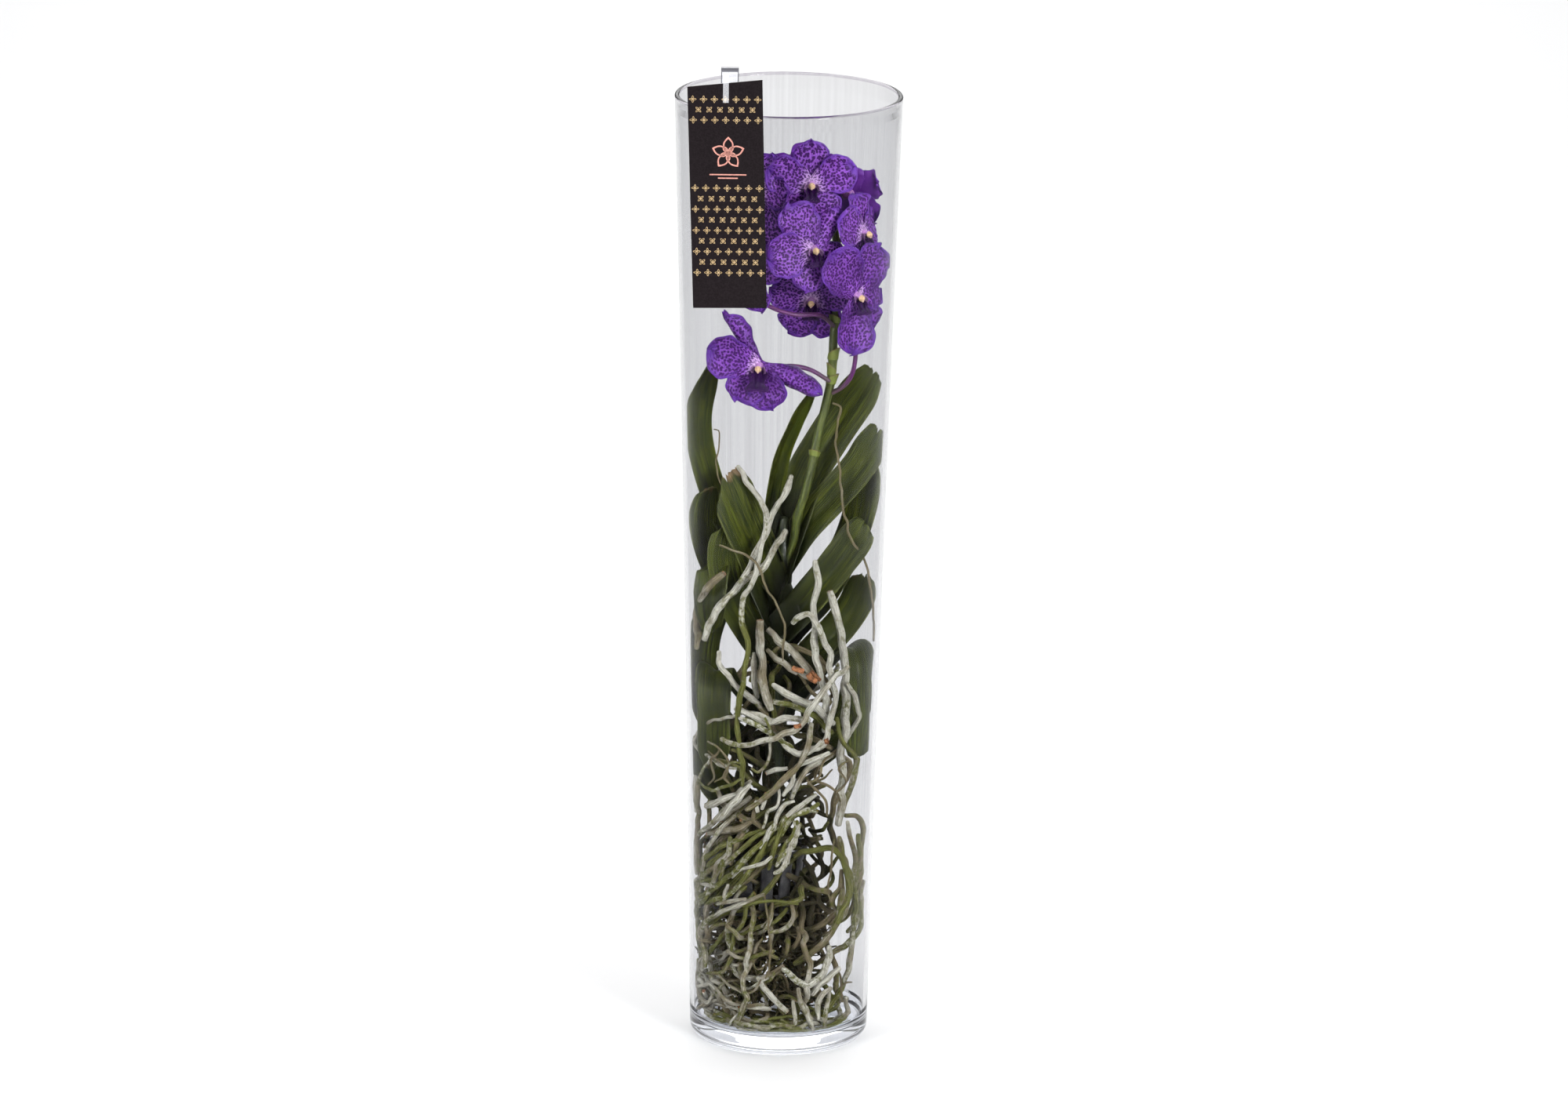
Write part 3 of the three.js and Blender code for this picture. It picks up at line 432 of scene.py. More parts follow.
def petal_surface():
    """Violet with dark cells. The tint holds the edge, how pale it is (below 0 it is painted shade) and the
    back.
    """
    s = Surface("petal", Specular_IOR_Level=0.2, Sheen_Weight=0.06, Sheen_Roughness=0.4)
    edge, pale, back = s.tint()[:3]
    uv = s.uv()
    warp = s.noise(uv, 0.35, 2.0, output="Color")
    moved = s.node("ShaderNodeVectorMath", {0: uv, 1: warp}, operation="ADD").outputs[0]
    cells = s.cells(moved, 0.46)
    size = s.noise(uv, 0.12, 2.0)
    reach = s.ramp(size, 0.3, 0.65, 0.36, 0.48)
    spot = s.ramp(s.math("SUBTRACT", cells.outputs["Distance"], reach), -0.05, 0.05, 1.0, 0.0)
    fade = s.math("MULTIPLY", s.ramp(edge, 0.78, 0.97, 1.0, 0.0), s.ramp(back, 0.0, 1.0, 1.0, 0.0))
    spot = s.math("MULTIPLY", spot, fade)
    grain = s.noise(uv, 1.4, 3.0, 0.6)
    streak = s.noise(s.scaled(uv, 0.9, 0.06), 1.0, 2.0)
    base = s.mix(s.ramp(streak, 0.3, 0.7), (0.095, 0.016, 0.22), (0.21, 0.054, 0.40))
    base = s.mix(s.ramp(grain, 0.4, 0.75, 0.0, 0.5), base, (0.42, 0.20, 0.64))
    base = s.mix(s.ramp(edge, 0.62, 1.0, 0.0, 0.8), base, (0.070, 0.016, 0.23))
    base = s.mix(s.math("MULTIPLY", back, 0.85), base, (0.075, 0.010, 0.17))
    base = s.mix(s.math("MULTIPLY", pale, s.ramp(back, 0.0, 1.0, 1.0, 0.0)), base, (0.70, 0.47, 0.75))
    dark = s.mix(s.ramp(grain, 0.3, 0.7), (0.014, 0.0006, 0.036), (0.038, 0.002, 0.082))
    # Painted shade where the paleness is below 0.
    base = s.mix(s.ramp(pale, -1.0, 0.0, 0.7, 0.0), base, (0.030, 0.003, 0.080))
    s.set(Base_Color=s.mix(s.math("MULTIPLY", spot, s.ramp(pale, 0.2, 1.0, 0.95, 0.45)), base, dark))
    s.set(Roughness=s.ramp(grain, 0.3, 0.7, 0.48, 0.62))
    s.bump(s.math("ADD", s.math("MULTIPLY", streak, 1.2), cells.outputs["Distance"]), 0.35, 0.35)
    return s.material


def lip_surface():
    """The flower's dark lip. The tint holds the edge and how pale it is."""
    s = Surface("lip", Specular_IOR_Level=0.18)
    edge, pale, _ = s.tint()[:3]
    grain = s.noise(s.place(), 0.9, 3.0, 0.6)
    base = s.mix(s.ramp(grain, 0.35, 0.7), (0.007, 0.0006, 0.018), (0.026, 0.002, 0.052))
    base = s.mix(s.ramp(edge, 0.72, 1.0, 0.0, 0.4), base, (0.055, 0.008, 0.10))
    s.set(Base_Color=s.mix(pale, base, (0.50, 0.28, 0.52)), Roughness=s.ramp(grain, 0.3, 0.7, 0.35, 0.5))
    s.bump(grain, 0.3, 0.4)
    return s.material


def column_surface():
    """The flower's column. The tint holds the cream of the cap and the pink of the throat."""
    s = Surface("column", Specular_IOR_Level=0.4)
    cream, pink, _ = s.tint()[:3]
    grain = s.noise(s.place(), 1.2, 3.0, 0.6)
    base = s.mix(s.ramp(grain, 0.35, 0.7), (0.33, 0.15, 0.42), (0.55, 0.36, 0.62))
    base = s.mix(pink, base, (0.35, 0.08, 0.32))
    cap = s.mix(s.ramp(grain, 0.35, 0.7), (0.46, 0.29, 0.15), (0.66, 0.50, 0.28))
    s.set(Base_Color=s.mix(cream, base, cap), Roughness=s.ramp(grain, 0.3, 0.7, 0.4, 0.55))
    s.bump(grain, 0.3, 0.3)
    return s.material


def stalk_surface(name, low, high, mark):
    """Stems and flower stalks, streaked from low to high and specked with mark.

    The tint's second value is brown and its third a fresh green. The first isn't used.
    """
    s = Surface(name, Specular_IOR_Level=0.45)
    _, brown, other = s.tint()[:3]
    uv = s.uv()
    streak = s.noise(s.scaled(uv, 0.9, 0.05), 1.0, 3.0, 0.6)
    speck = s.noise(s.place(), 0.9, 3.0, 0.7)
    base = s.mix(s.ramp(streak, 0.35, 0.68), low, high)
    base = s.mix(s.ramp(speck, 0.6, 0.75, 0.0, 0.6), base, mark)
    base = s.mix(other, base, (0.14, 0.17, 0.03))
    base = s.mix(s.ramp(brown, 0.3, 0.7), base, (0.12, 0.075, 0.03))
    s.set(Base_Color=base, Roughness=s.ramp(speck, 0.3, 0.7, 0.38, 0.55))
    s.bump(s.math("ADD", streak, speck), 0.25, 0.4)
    return s.material


def root_surface():
    """Silvery velamen. The tint holds moss, rust and tone; the tone dulls it and near 2 blackens it. Tone that
    high is mostly painted shade on roots far inside the tangle.
    """
    s = Surface("root", Specular_IOR_Level=0.12)
    moss, brown, tone = s.tint()[:3]
    place = s.place()
    uv = s.uv()
    patch = s.noise(place, 0.055, 4.0, 0.6)
    blot = s.noise(place, 0.30, 4.0, 0.65)
    streak = s.noise(s.scaled(uv, 1.1, 0.10), 1.0, 3.0, 0.6)
    speck = s.noise(place, 1.7, 2.0, 0.7)
    grey = s.mix(s.ramp(streak, 0.25, 0.75), (0.15, 0.142, 0.108), (0.54, 0.53, 0.46))
    dull = s.mix(s.ramp(streak, 0.25, 0.75), (0.055, 0.042, 0.020), (0.19, 0.155, 0.095))
    # The tone also carries painted shade on roots far inside the tangle, which dulls them here.
    worn = s.math("ADD", tone, s.ramp(patch, 0.3, 0.7, -0.3, 0.3))
    grey = s.mix(s.ramp(worn, 0.1, 0.95), grey, dull)
    grey = s.mix(s.ramp(blot, 0.48, 0.72, 0.0, 0.6), grey, (0.15, 0.135, 0.07))
    green = s.mix(s.ramp(streak, 0.3, 0.75), (0.036, 0.038, 0.006), (0.15, 0.155, 0.045))
    mossy = s.math("ADD", moss, s.ramp(blot, 0.3, 0.7, -0.4, 0.35))
    base = s.mix(s.ramp(mossy, 0.15, 0.8), grey, green)
    rust = s.mix(s.ramp(blot, 0.35, 0.65), (0.07, 0.025, 0.010), (0.33, 0.14, 0.06))
    rusty = s.math("ADD", brown, s.ramp(blot, 0.45, 0.75, -0.12, 0.16))
    base = s.mix(s.ramp(rusty, 0.22, 0.6), base, rust)
    base = s.mix(s.ramp(speck, 0.60, 0.70, 0.0, 0.75), base, (0.035, 0.028, 0.014))
    # Painted shade: a tone near 2, on roots far inside the tangle, turns them nearly black.
    base = s.mix(s.ramp(tone, 0.95, 2.0, 0.0, 0.88), base, (0.012, 0.011, 0.005))
    s.set(Base_Color=base, Roughness=s.ramp(blot, 0.3, 0.7, 0.72, 0.9))
    coarse = s.math("ADD", blot, s.math("MULTIPLY", speck, 0.4))
    s.bump(s.math("ADD", s.math("MULTIPLY", streak, 0.8), coarse), 0.55, 0.9)
    return s.material


def plain_surface(name, low, high, scale, roughness, bump=0.15, **sockets):
    """A grainy material between two colours."""
    s = Surface(name, **sockets)
    grain = s.noise(s.place(), scale, 4.0, 0.6)
    s.set(Base_Color=s.mix(s.ramp(grain, 0.35, 0.68), low, high))
    s.set(Roughness=s.ramp(grain, 0.3, 0.7, roughness - 0.06, roughness + 0.06))
    s.bump(grain, bump, 0.2)
    return s.material


GLASS = glass_surface("vase_glass", (0.728, 0.730, 0.739), (0.804, 0.806, 0.817), 1.14, 0.3, 1.1)
GLASS_LIP = glass_surface("vase_lip", (0.72, 0.72, 0.73), (0.79, 0.79, 0.80), 1.2, 1.0, 1.0)
# The rounded rim's grey violet is a painted reflection: it stands in for the shade and the flowers that the rim
# shows by refraction.
GLASS_RIM = glass_surface("vase_rim", (0.40, 0.37, 0.42), (0.50, 0.47, 0.52), 1.2, 1.0, 1.0)
GLASS_BASE = glass_surface("vase_base", (0.84, 0.86, 0.91), (0.91, 0.93, 0.98), 1.41, 0.9, 1.1)
CLEAR = clip_surface()
LEAF = leaf_surface()
PETAL = petal_surface()
LIP = lip_surface()
COLUMN = column_surface()
STEM_GREEN = stalk_surface("stem_green", (0.022, 0.031, 0.003), (0.076, 0.092, 0.012), (0.11, 0.10, 0.024))
# The leaf stem's near-black is partly its own dark olive and partly painted shade from the leaves' feet that
# crowd round it.
STEM_DARK_SHADED = stalk_surface("stem_dark_shaded", (0.006, 0.009, 0.002), (0.022, 0.030, 0.006), (0.03, 0.026, 0.012))
STALK_PURPLE = stalk_surface("stalk_purple", (0.042, 0.005, 0.050), (0.115, 0.020, 0.120), (0.16, 0.05, 0.12))
ROOT = root_surface()
BLACK_PLASTIC = plain_surface("black_plastic", (0.010, 0.010, 0.012), (0.035, 0.034, 0.034), 0.25, 0.5)
CARD = plain_surface(
    "card_black", (0.0085, 0.0060, 0.0070), (0.014, 0.0105, 0.012), 0.8, 0.75, 0.08, Specular_IOR_Level=0.06
)
CARD_EDGE = plain_surface("card_edge", (0.50, 0.49, 0.48), (0.66, 0.65, 0.63), 1.5, 0.8)
GOLD = plain_surface("gold_print", (0.46, 0.32, 0.15), (0.66, 0.49, 0.27), 0.9, 0.42, Metallic=0.35)
ROSE = plain_surface("rose_print", (0.62, 0.26, 0.22), (0.80, 0.40, 0.32), 0.9, 0.42, Metallic=0.3)


# ---------------------------------------------------------------- vase
VASE_SEGMENTS = 192
FLAT_RADII = (0.01, 20, 40)  # rings on the flat parts of the base; the smallest leaves no visible hole
WALL_RINGS = 36
LIP_ZONE = LIP_HEIGHT + 2


def vase_profile():
    """Pairs of radius and height, from the underside's middle up the outside and down the inside."""
    foot = (float(outer_radius(FOOT_ROUND)) - FOOT_ROUND, FOOT_ROUND)
    lip = LIP_WALL / 2
    heights = np.linspace(2 * FOOT_ROUND, VASE_HEIGHT - LIP_HEIGHT, WALL_RINGS)
    outside = [(r, 0.0) for r in FLAT_RADII]
    outside += arc(foot, FOOT_ROUND, -90, 0, 12)
    outside += [(float(outer_radius(z)), z) for z in heights]
    outside += arc((RIM_RADIUS - lip, VASE_HEIGHT - lip), lip, 0, 180, 12)
    corner_z = BASE + FLOOR_ROUND
    corner = (float(outer_radius(corner_z)) - WALL - FLOOR_ROUND, corner_z)
    heights = np.linspace(BASE + 2 * FLOOR_ROUND, VASE_HEIGHT - 2 * LIP_HEIGHT, WALL_RINGS)
    inside = [(r, BASE) for r in FLAT_RADII]
    inside += arc(corner, FLOOR_ROUND, -90, 0, 10)
    inside += [(float(outer_radius(z)) - WALL, z) for z in heights]
    return outside + inside[::-1]


def vase_shape():
    """The glass, with the thick base, the lip and its rounded edge as materials of their own."""
    profile = vase_profile()
    made = lathe(profile, VASE_SEGMENTS)
    steps = [BASE + FLOOR_ROUND, VASE_HEIGHT - LIP_ZONE, VASE_HEIGHT - LIP_WALL / 2 + 0.01]
    made["slots"] = [sum(z >= step for step in steps) for _, z in profile[:-1] for _ in range(VASE_SEGMENTS)]
    return made


make_piece("glass_vase", [vase_shape()], [GLASS_BASE, GLASS, GLASS_LIP, GLASS_RIM], ["vase"])

# ---------------------------------------------------------------- tag with its print, and the clear clip
# Top and bottom are y and z of the card's back; the corners are x and height from the bottom left round.
TAG_THICKNESS = 0.8
TAG_TOP = (-83.5, 723)
TAG_BOTTOM = (-79.5, 561)
TAG_CORNERS = [(-66.3, 0), (-14, 0.5), (-18.8, 166.5), (-71.8, 161)]
TAG_LEAN = math.atan2(TAG_BOTTOM[0] - TAG_TOP[0], TAG_TOP[1] - TAG_BOTTOM[1])


def on_tag(x, height, out):
    """A point of the card, out millimetres in front of its back."""
    y = TAG_BOTTOM[0] - height * math.sin(TAG_LEAN) - out * math.cos(TAG_LEAN)
    return (x, y, TAG_BOTTOM[1] + height * math.cos(TAG_LEAN) - out * math.sin(TAG_LEAN))


def slab(outline, back, front, slot=0, edge_slot=0, holes=None):
    """A flat body between two depths of the card: a full outline, or a band between it and an inner one."""
    n = len(outline)
    loops = [outline] if holes is None else [outline, holes]
    points = [on_tag(x, h, depth) for loop in loops for depth in (back, front) for x, h in loop]
    faces, slots = [], []
    for k in range(len(loops)):
        for i in range(n):
            j = (i + 1) % n
            a = 2 * n * k
            faces.append([a + i, a + j, a + n + j, a + n + i][:: -1 if k else 1])
            slots.append(edge_slot)
    if holes is None:
        faces += [list(range(n - 1, -1, -1)), list(range(n, 2 * n))]
        slots += [slot, slot]
    else:
        for i in range(n):
            j = (i + 1) % n
            faces += [[n + i, n + j, 3 * n + j, 3 * n + i], [j, i, 2 * n + i, 2 * n + j]]
            slots += [slot, slot]
    made = shape(points, faces, [(p[0], p[2]) for p in points], [0, 0, 0], slot)
    made["slots"] = slots
    return made


def almond(centre, angle, length, width, stroke):
    """A leaf-shaped outline drawn as a thin band, with its foot at the centre."""
    t = np.linspace(0, 1, 12)
    half = np.sin(math.pi * t) ** 0.9
    loops = []
    for shrink in (0.0, stroke):
        x = np.concatenate([t, t[-2:0:-1]])
        side = np.concatenate([half, -half[-2:0:-1]])
        along = shrink * 1.6 + x * (length - 3.2 * shrink)
        across = side * (width / 2 - shrink)
        c, s = math.cos(angle), math.sin(angle)
        loops.append([(centre[0] + a * s + b * c, centre[1] + a * c - b * s) for a, b in zip(along, across)])
    return loops


PRINT_LOW = TAG_THICKNESS - 0.02
PRINT_HIGH = TAG_THICKNESS + 0.05
PRINT_MARGIN = 3.6
GOLD_ROWS = [(137 + 7.5 * k, k) for k in range(3)] + [(26 + 7.7 * k, k) for k in range(9)]
GOLD_ACROSS = 7
ROSE_CENTRE = (-42.5, 113)
BARS = ((97, 13), (94.5, 7))  # heights and half widths
BAR_STROKE = 0.9


def blossom(centre, petals, turn, length, width, stroke):
    """Outline petals round a centre."""
    made = []
    for k in range(petals):
        outer, inner = almond(centre, turn + 2 * math.pi * k / petals, length, width, stroke)
        made.append(slab(outer, PRINT_LOW, PRINT_HIGH, holes=inner))
    return made


def tag_edge(height, right):
    """The card's left or right edge at a height."""
    low, high = (TAG_CORNERS[1], TAG_CORNERS[2]) if right else (TAG_CORNERS[0], TAG_CORNERS[3])
    return low[0] + (high[0] - low[0]) * height / high[1]


gold = []
for height, k in GOLD_ROWS:
    left, right = tag_edge(height, False) + PRINT_MARGIN, tag_edge(height, True) - PRINT_MARGIN
    spacing = (right - left) / (GOLD_ACROSS - 1)
    for i in range(GOLD_ACROSS - k % 2):
        x = left + (i + 0.5 * (k % 2)) * spacing
        gold += blossom((x, height), 4, math.pi / 4 * (k % 2), 2.7, 1.5, 0.34)
rose = blossom(ROSE_CENTRE, 5, 0, 12, 7.5, 1.0)
rose += blossom(ROSE_CENTRE, 5, math.pi / 5, 6.5, 3.2, 0.7)
for low, half in BARS:
    left, right, high = ROSE_CENTRE[0] - half, ROSE_CENTRE[0] + half, low + BAR_STROKE
    rose.append(slab([(left, low), (right, low), (right, high), (left, high)], PRINT_LOW, PRINT_HIGH))
card = slab(TAG_CORNERS, 0, TAG_THICKNESS, 0, 1)
make_piece("tag_card", [card], [CARD, CARD_EDGE], ["hang_tag"], smooth=False)
make_piece("tag_print_gold", gold, [GOLD], smooth=False)
make_piece("tag_print_rose", rose, [ROSE], smooth=False)


def rounded_copy(name, node, material, width):
    """A CAD node's own shape with its edges rounded and a better material."""
    made = bpy.data.objects.new(name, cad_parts[node].data.copy())
    bpy.context.scene.collection.objects.link(made)
    made.data.materials.clear()
    made.data.materials.append(material)
    bevel = made.modifiers.new("edges", "BEVEL")
    bevel.width = width * MM
    bevel.segments = 2
    bevel.limit_method = "ANGLE"
    weld = made.modifiers.new("weld", "WELD")
    weld.merge_threshold = 0.01 * MM
    made.modifiers.move(1, 0)
    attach(made, "root")
    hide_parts(node)


rounded_copy("clear_clip", "tag_clip", CLEAR, 0.35)

# ---------------------------------------------------------------- basket
BASKET = (-17, 0, 97)  # the middle of its underside
BASKET_HEIGHT = 47
BASKET_BOTTOM = 32  # outer radii
BASKET_TOP = 37
SLATS = 14
SLAT_HALF = 4.6
SLAT_HEIGHTS = (1, 45)
SLAT_THICKNESS = 1.8


def basket_shapes():
    """A floor ring, a rim ring and the slats between them."""
    made = []
    rim = [(BASKET_TOP - 3.4, 43.4), (BASKET_TOP - 0.6, 43), (BASKET_TOP, 43.6), (BASKET_TOP + 0.1, 46.4)]
    rim += [(BASKET_TOP - 0.5, 47), (BASKET_TOP - 3.2, 47), (BASKET_TOP - 3.7, 46.4), (BASKET_TOP - 3.7, 43.9)]
    floor = [(9, 0.2), (9.4, 0), (31.6, 0), (32.1, 0.4), (32.1, 1.7), (31.6, 2.1), (9.4, 2.1), (9, 1.8)]
    for ring in (rim, floor):
        made.append(lathe([*ring, ring[0]], 96))
    for k in range(SLATS):
        angle = 2 * math.pi * k / SLATS
        rows = []
        for t in np.linspace(0, 1, 9):
            radius = BASKET_BOTTOM - 1.2 + (BASKET_TOP - BASKET_BOTTOM) * t
            half = SLAT_HALF + 0.5 * abs(2 * t - 1) ** 3
            turn = np.linspace(-half / radius, half / radius, 7)
            r = radius + 0.25 * np.cos(turn * radius / half * math.pi)
            z = SLAT_HEIGHTS[0] + (SLAT_HEIGHTS[1] - SLAT_HEIGHTS[0]) * t
            rows.append(stack(r * np.cos(angle + turn), r * np.sin(angle + turn), z))
        surface = np.array(rows)
        made.append(sheet(surface, SLAT_THICKNESS, surface[..., [0, 2]], [0, 0, 0]))
    for s in made:
        s["points"] = s["points"] + np.array(BASKET)
    return made


make_piece("plant_basket", basket_shapes(), [BLACK_PLASTIC], ["basket"])

# ---------------------------------------------------------------- stem and flower spike
STEM = [[-12, 4, 108], [-7, 9, 150], [-4, 9, 220], [-2, 9, 300], [0, 8, 384]]
STEM_RADIUS = 7.4
LEAF_SCARS = 17
SPIKE = [
    [2, 6, 352], [5, 2.5, 363], [7.5, 0, 374], [9.5, -3, 390], [15.5, -4, 410], [20, -3, 430], [23, -2, 446],
    [28, -1, 468], [33, 0, 494], [34, 0, 520], [36, 2, 550], [36, 4, 580], [33, 5, 610], [29, 5, 650],
]
SPIKE_RADIUS = 3.15
SPIKE_JOINTS = (391, 437, 490, 507, 534, 562, 590, 618)  # heights; the first is browned
# Height, length and the side that each of the spike's dry scales stands away on.
SPIKE_SCALES = [
    (436, 4.5, [-0.2, -0.9, 0]), (488, 8, [0.9, -0.3, 0]), (494, 9, [-0.9, -0.3, 0]), (506, 9, [0.8, -0.5, 0]),
    (534, 6, [-0.7, -0.6, 0]), (560, 6, [0.6, -0.7, 0]), (588, 5, [-0.7, -0.6, 0]),
]


def stem_piece():
    line = smooth_line(STEM, step=3)
    along = np.linspace(0, 1, len(line))
    rings = 0.5 + 0.5 * np.cos(along * 2 * math.pi * LEAF_SCARS)
    radius = (STEM_RADIUS - 0.9 * rings**6) * (1 - 0.45 * ease(along, 0.9, 1))
    tint = stack(0, 0.1 + 0.3 * rings**8 * (1 - along), 0)
    shapes = [tube(line, radius, 28, tint, lump=0.01)]
    make_piece("leaf_stem", shapes, [STEM_DARK_SHADED], ["main_stem"])


def wrapped_sheath(centre, axis, radius, height, open_side, seed):
    """A dry scale that wraps a stalk and stands away from it on one side."""
    rng = np.random.default_rng(seed)
    axis = unit(axis)
    front = unit(np.asarray(open_side, float) - axis * np.dot(open_side, axis))
    other = np.cross(axis, front)
    v, u = np.meshgrid(np.linspace(0, 1, 12), np.linspace(-1, 1, 21), indexing="ij")
    turn = u * 2.5 * (1 - 0.25 * v)
    reach = height * v * (0.45 + 0.55 * np.cos(u * 1.35)) + 0.25 * np.sin(5 * u + rng.uniform(0, 6)) * v
    away = radius + 0.25 + 1.3 * v**1.5 * np.cos(turn / 2) ** 2
    points = np.asarray(centre, float) + reach[..., None] * axis
    points = points + away[..., None] * (np.cos(turn)[..., None] * front + np.sin(turn)[..., None] * other)
    tint = stack(v, 0.15 + 0.5 * v**4, 0.8)
    return sheet(points, 0.5, stack(u * 4, v * height), tint)


def spike_piece():
    line = smooth_line(SPIKE, step=1.5)
    z = line[:, 2]
    radius = SPIKE_RADIUS - 0.9 * ease(z, 520, 650)
    for joint in SPIKE_JOINTS:
        radius = radius + 0.45 * np.exp(-(((z - joint) / 2.2) ** 2))
    tint = np.zeros((len(z), 3))
    tint[:, 1] = 0.35 * np.exp(-(((z - SPIKE_JOINTS[0]) / 3) ** 2))
    shapes = [tube(line, radius, 24, tint, lump=0.008)]
    for k, (height, length, side) in enumerate(SPIKE_SCALES):
        i = int(np.argmin(abs(z - height)))
        shapes.append(wrapped_sheath(line[i], tangents(line)[i], radius[i], length, side, 30 + k))
    make_piece("flower_stem", shapes, [STEM_GREEN], ["flower_spike"])


stem_piece()
spike_piece()

# ---------------------------------------------------------------- leaves
# spine from the stem to the tip; face is where the upper side looks at the stem and at the tip; tip is
# how far the left, middle and right of the tip fall short, in millimetres; dry is how brown the tip is.
LEAVES = [
    {"spine": [[-7, 10, 326], [-24, 14, 350], [-45, 14, 384], [-58, 10, 420], [-63, 6, 448], [-62, 3, 474],
               [-53, 2, 507]],
     "width": 23, "face": [[0.5, -0.8, 0.4], [0.55, -0.83, 0]], "tip": (34, 10, 0), "dry": 0.3},
    {"spine": [[3, 10, 340], [5, 12, 362], [10, 14, 392], [17.5, 16, 416], [31.5, 17, 442], [47, 17, 466],
               [66, 15, 496]],
     "width": 32, "face": [[-0.5, -0.8, 0.3], [-0.3, -0.9, 0.3]], "tip": (0, 4, 3), "dry": 0.2},
    {"spine": [[-4, 9, 356], [-9, 8, 374], [-11, 6, 390], [-9.5, 4, 407], [-6, 3, 425], [-1, 2, 443],
               [6.5, 1, 459], [19, 0, 482]],
     "width": 20, "face": [[0.75, -0.6, 0.1], [0.8, -0.55, 0]], "tip": (0, 2, 1), "dry": 0.2},
    {"spine": [[-3, 9, 328], [4, 8, 354], [18, 4, 381], [38, 0, 407], [56, -3, 432], [69, -4, 459]],
     "width": 26, "face": [[-0.5, -0.8, 0.3], [-0.3, -0.9, 0.3]], "tip": (0, 7, 3), "dry": 0.35},
    {"spine": [[-8, 7, 310], [-14, 1, 338], [-22, -6, 367], [-33, -12, 396], [-45, -14, 427]],
     "width": 34, "face": [[0.4, -0.85, 0.3], [0.3, -0.9, 0.3]], "tip": (24, 8, 0), "dry": 0.75},
    {"spine": [[4, 11, 286], [22, 16, 315], [42, 15, 350], [55, 10, 385], [59, 6, 415], [58, 4, 438]],
     "width": 27, "face": [[-0.5, -0.8, 0.3], [-0.5, -0.85, 0.1]], "tip": (5, 2, 0), "dry": 0.3},
    {"spine": [[-9, 12, 294], [-28, 16, 318], [-48, 11, 345], [-57, 4, 372], [-57, 0, 398], [-53, -2, 412]],
     "width": 27, "face": [[0.4, -0.8, 0.4], [0.6, -0.8, 0.1]], "tip": (4, 1, 0), "dry": 0.4},
    {"spine": [[-3, 4, 294], [10, -1, 316], [23, -5, 333], [37, -8, 352], [50, -8, 372], [59, -6, 390]],
     "width": 27, "face": [[-0.4, -0.85, 0.3], [-0.35, -0.9, 0.25]], "tip": (0, 5, 7), "dry": 0.35},
    {"spine": [[-9, 5, 276], [-24, -4, 303], [-37, -12, 333], [-43, -15, 362], [-40, -14, 389]],
     "width": 25, "face": [[0.3, -0.9, 0.3], [0.2, -0.95, 0.2]], "tip": (8, 3, 0), "dry": 0.4},
    {"spine": [[4, 6, 254], [20, 5, 280], [39, 4, 302], [53, 2, 325], [59, 0, 348]],
     "width": 26, "face": [[-0.4, -0.85, 0.3], [-0.4, -0.9, 0.2]], "tip": (2, 1, 0), "dry": 0.5},
    {"spine": [[-9, 9, 258], [-26, 10, 288], [-41, 7, 322], [-48, -3, 347], [-50, -16, 351], [-52, -24, 334],
               [-52, -24, 308]],
     "width": 24, "face": [[0.3, 0.6, 0.6], [-0.3, -0.93, 0.2]], "tip": (3, 1, 0), "dry": 0.5},
    {"spine": [[4, 7, 236], [22, 9, 258], [40, 7, 280], [51, -3, 292], [54, -15, 286], [55, -21, 264],
               [55, -22, 240], [54, -21, 214]],
     "width": 25, "face": [[-0.3, 0.6, 0.6], [0.35, -0.93, 0.2]], "tip": (4, 1, 0), "dry": 0.5},
    {"spine": [[-10, 7, 226], [-27, 8, 246], [-42, 4, 265], [-48, -8, 275], [-49, -21, 268], [-49, -27, 246],
               [-48, -28, 206]],
     "width": 26, "face": [[0.3, 0.6, 0.6], [-0.35, -0.93, 0.2]], "tip": (3, 1, 0), "dry": 0.5},
    {"spine": [[-11, 11, 200], [-34, 15, 214], [-52, 12, 236], [-59, 6, 262], [-59, 0, 292], [-53, -5, 318],
               [-44, -8, 340]],
     "width": 27, "face": [[0.4, -0.8, 0.4], [0.5, -0.85, 0.2]], "tip": (12, 5, 0), "dry": 0.6},
    {"spine": [[3, 10, 190], [24, 16, 206], [43, 16, 226], [55, 12, 248], [57, 8, 272]],
     "width": 28, "face": [[-0.4, -0.8, 0.4], [-0.4, -0.9, 0.2]], "tip": (3, 1, 0), "dry": 0.4},
    {"spine": [[-12, 11, 160], [-32, 17, 168], [-49, 15, 184], [-56, 10, 206], [-56, 6, 230]],
     "width": 27, "face": [[0.4, -0.8, 0.4], [0.5, -0.85, 0.2]], "tip": (3, 1, 0), "dry": 0.4},
]


LEAF_GRID = (72, 25)
SPINE_POINTS = 401


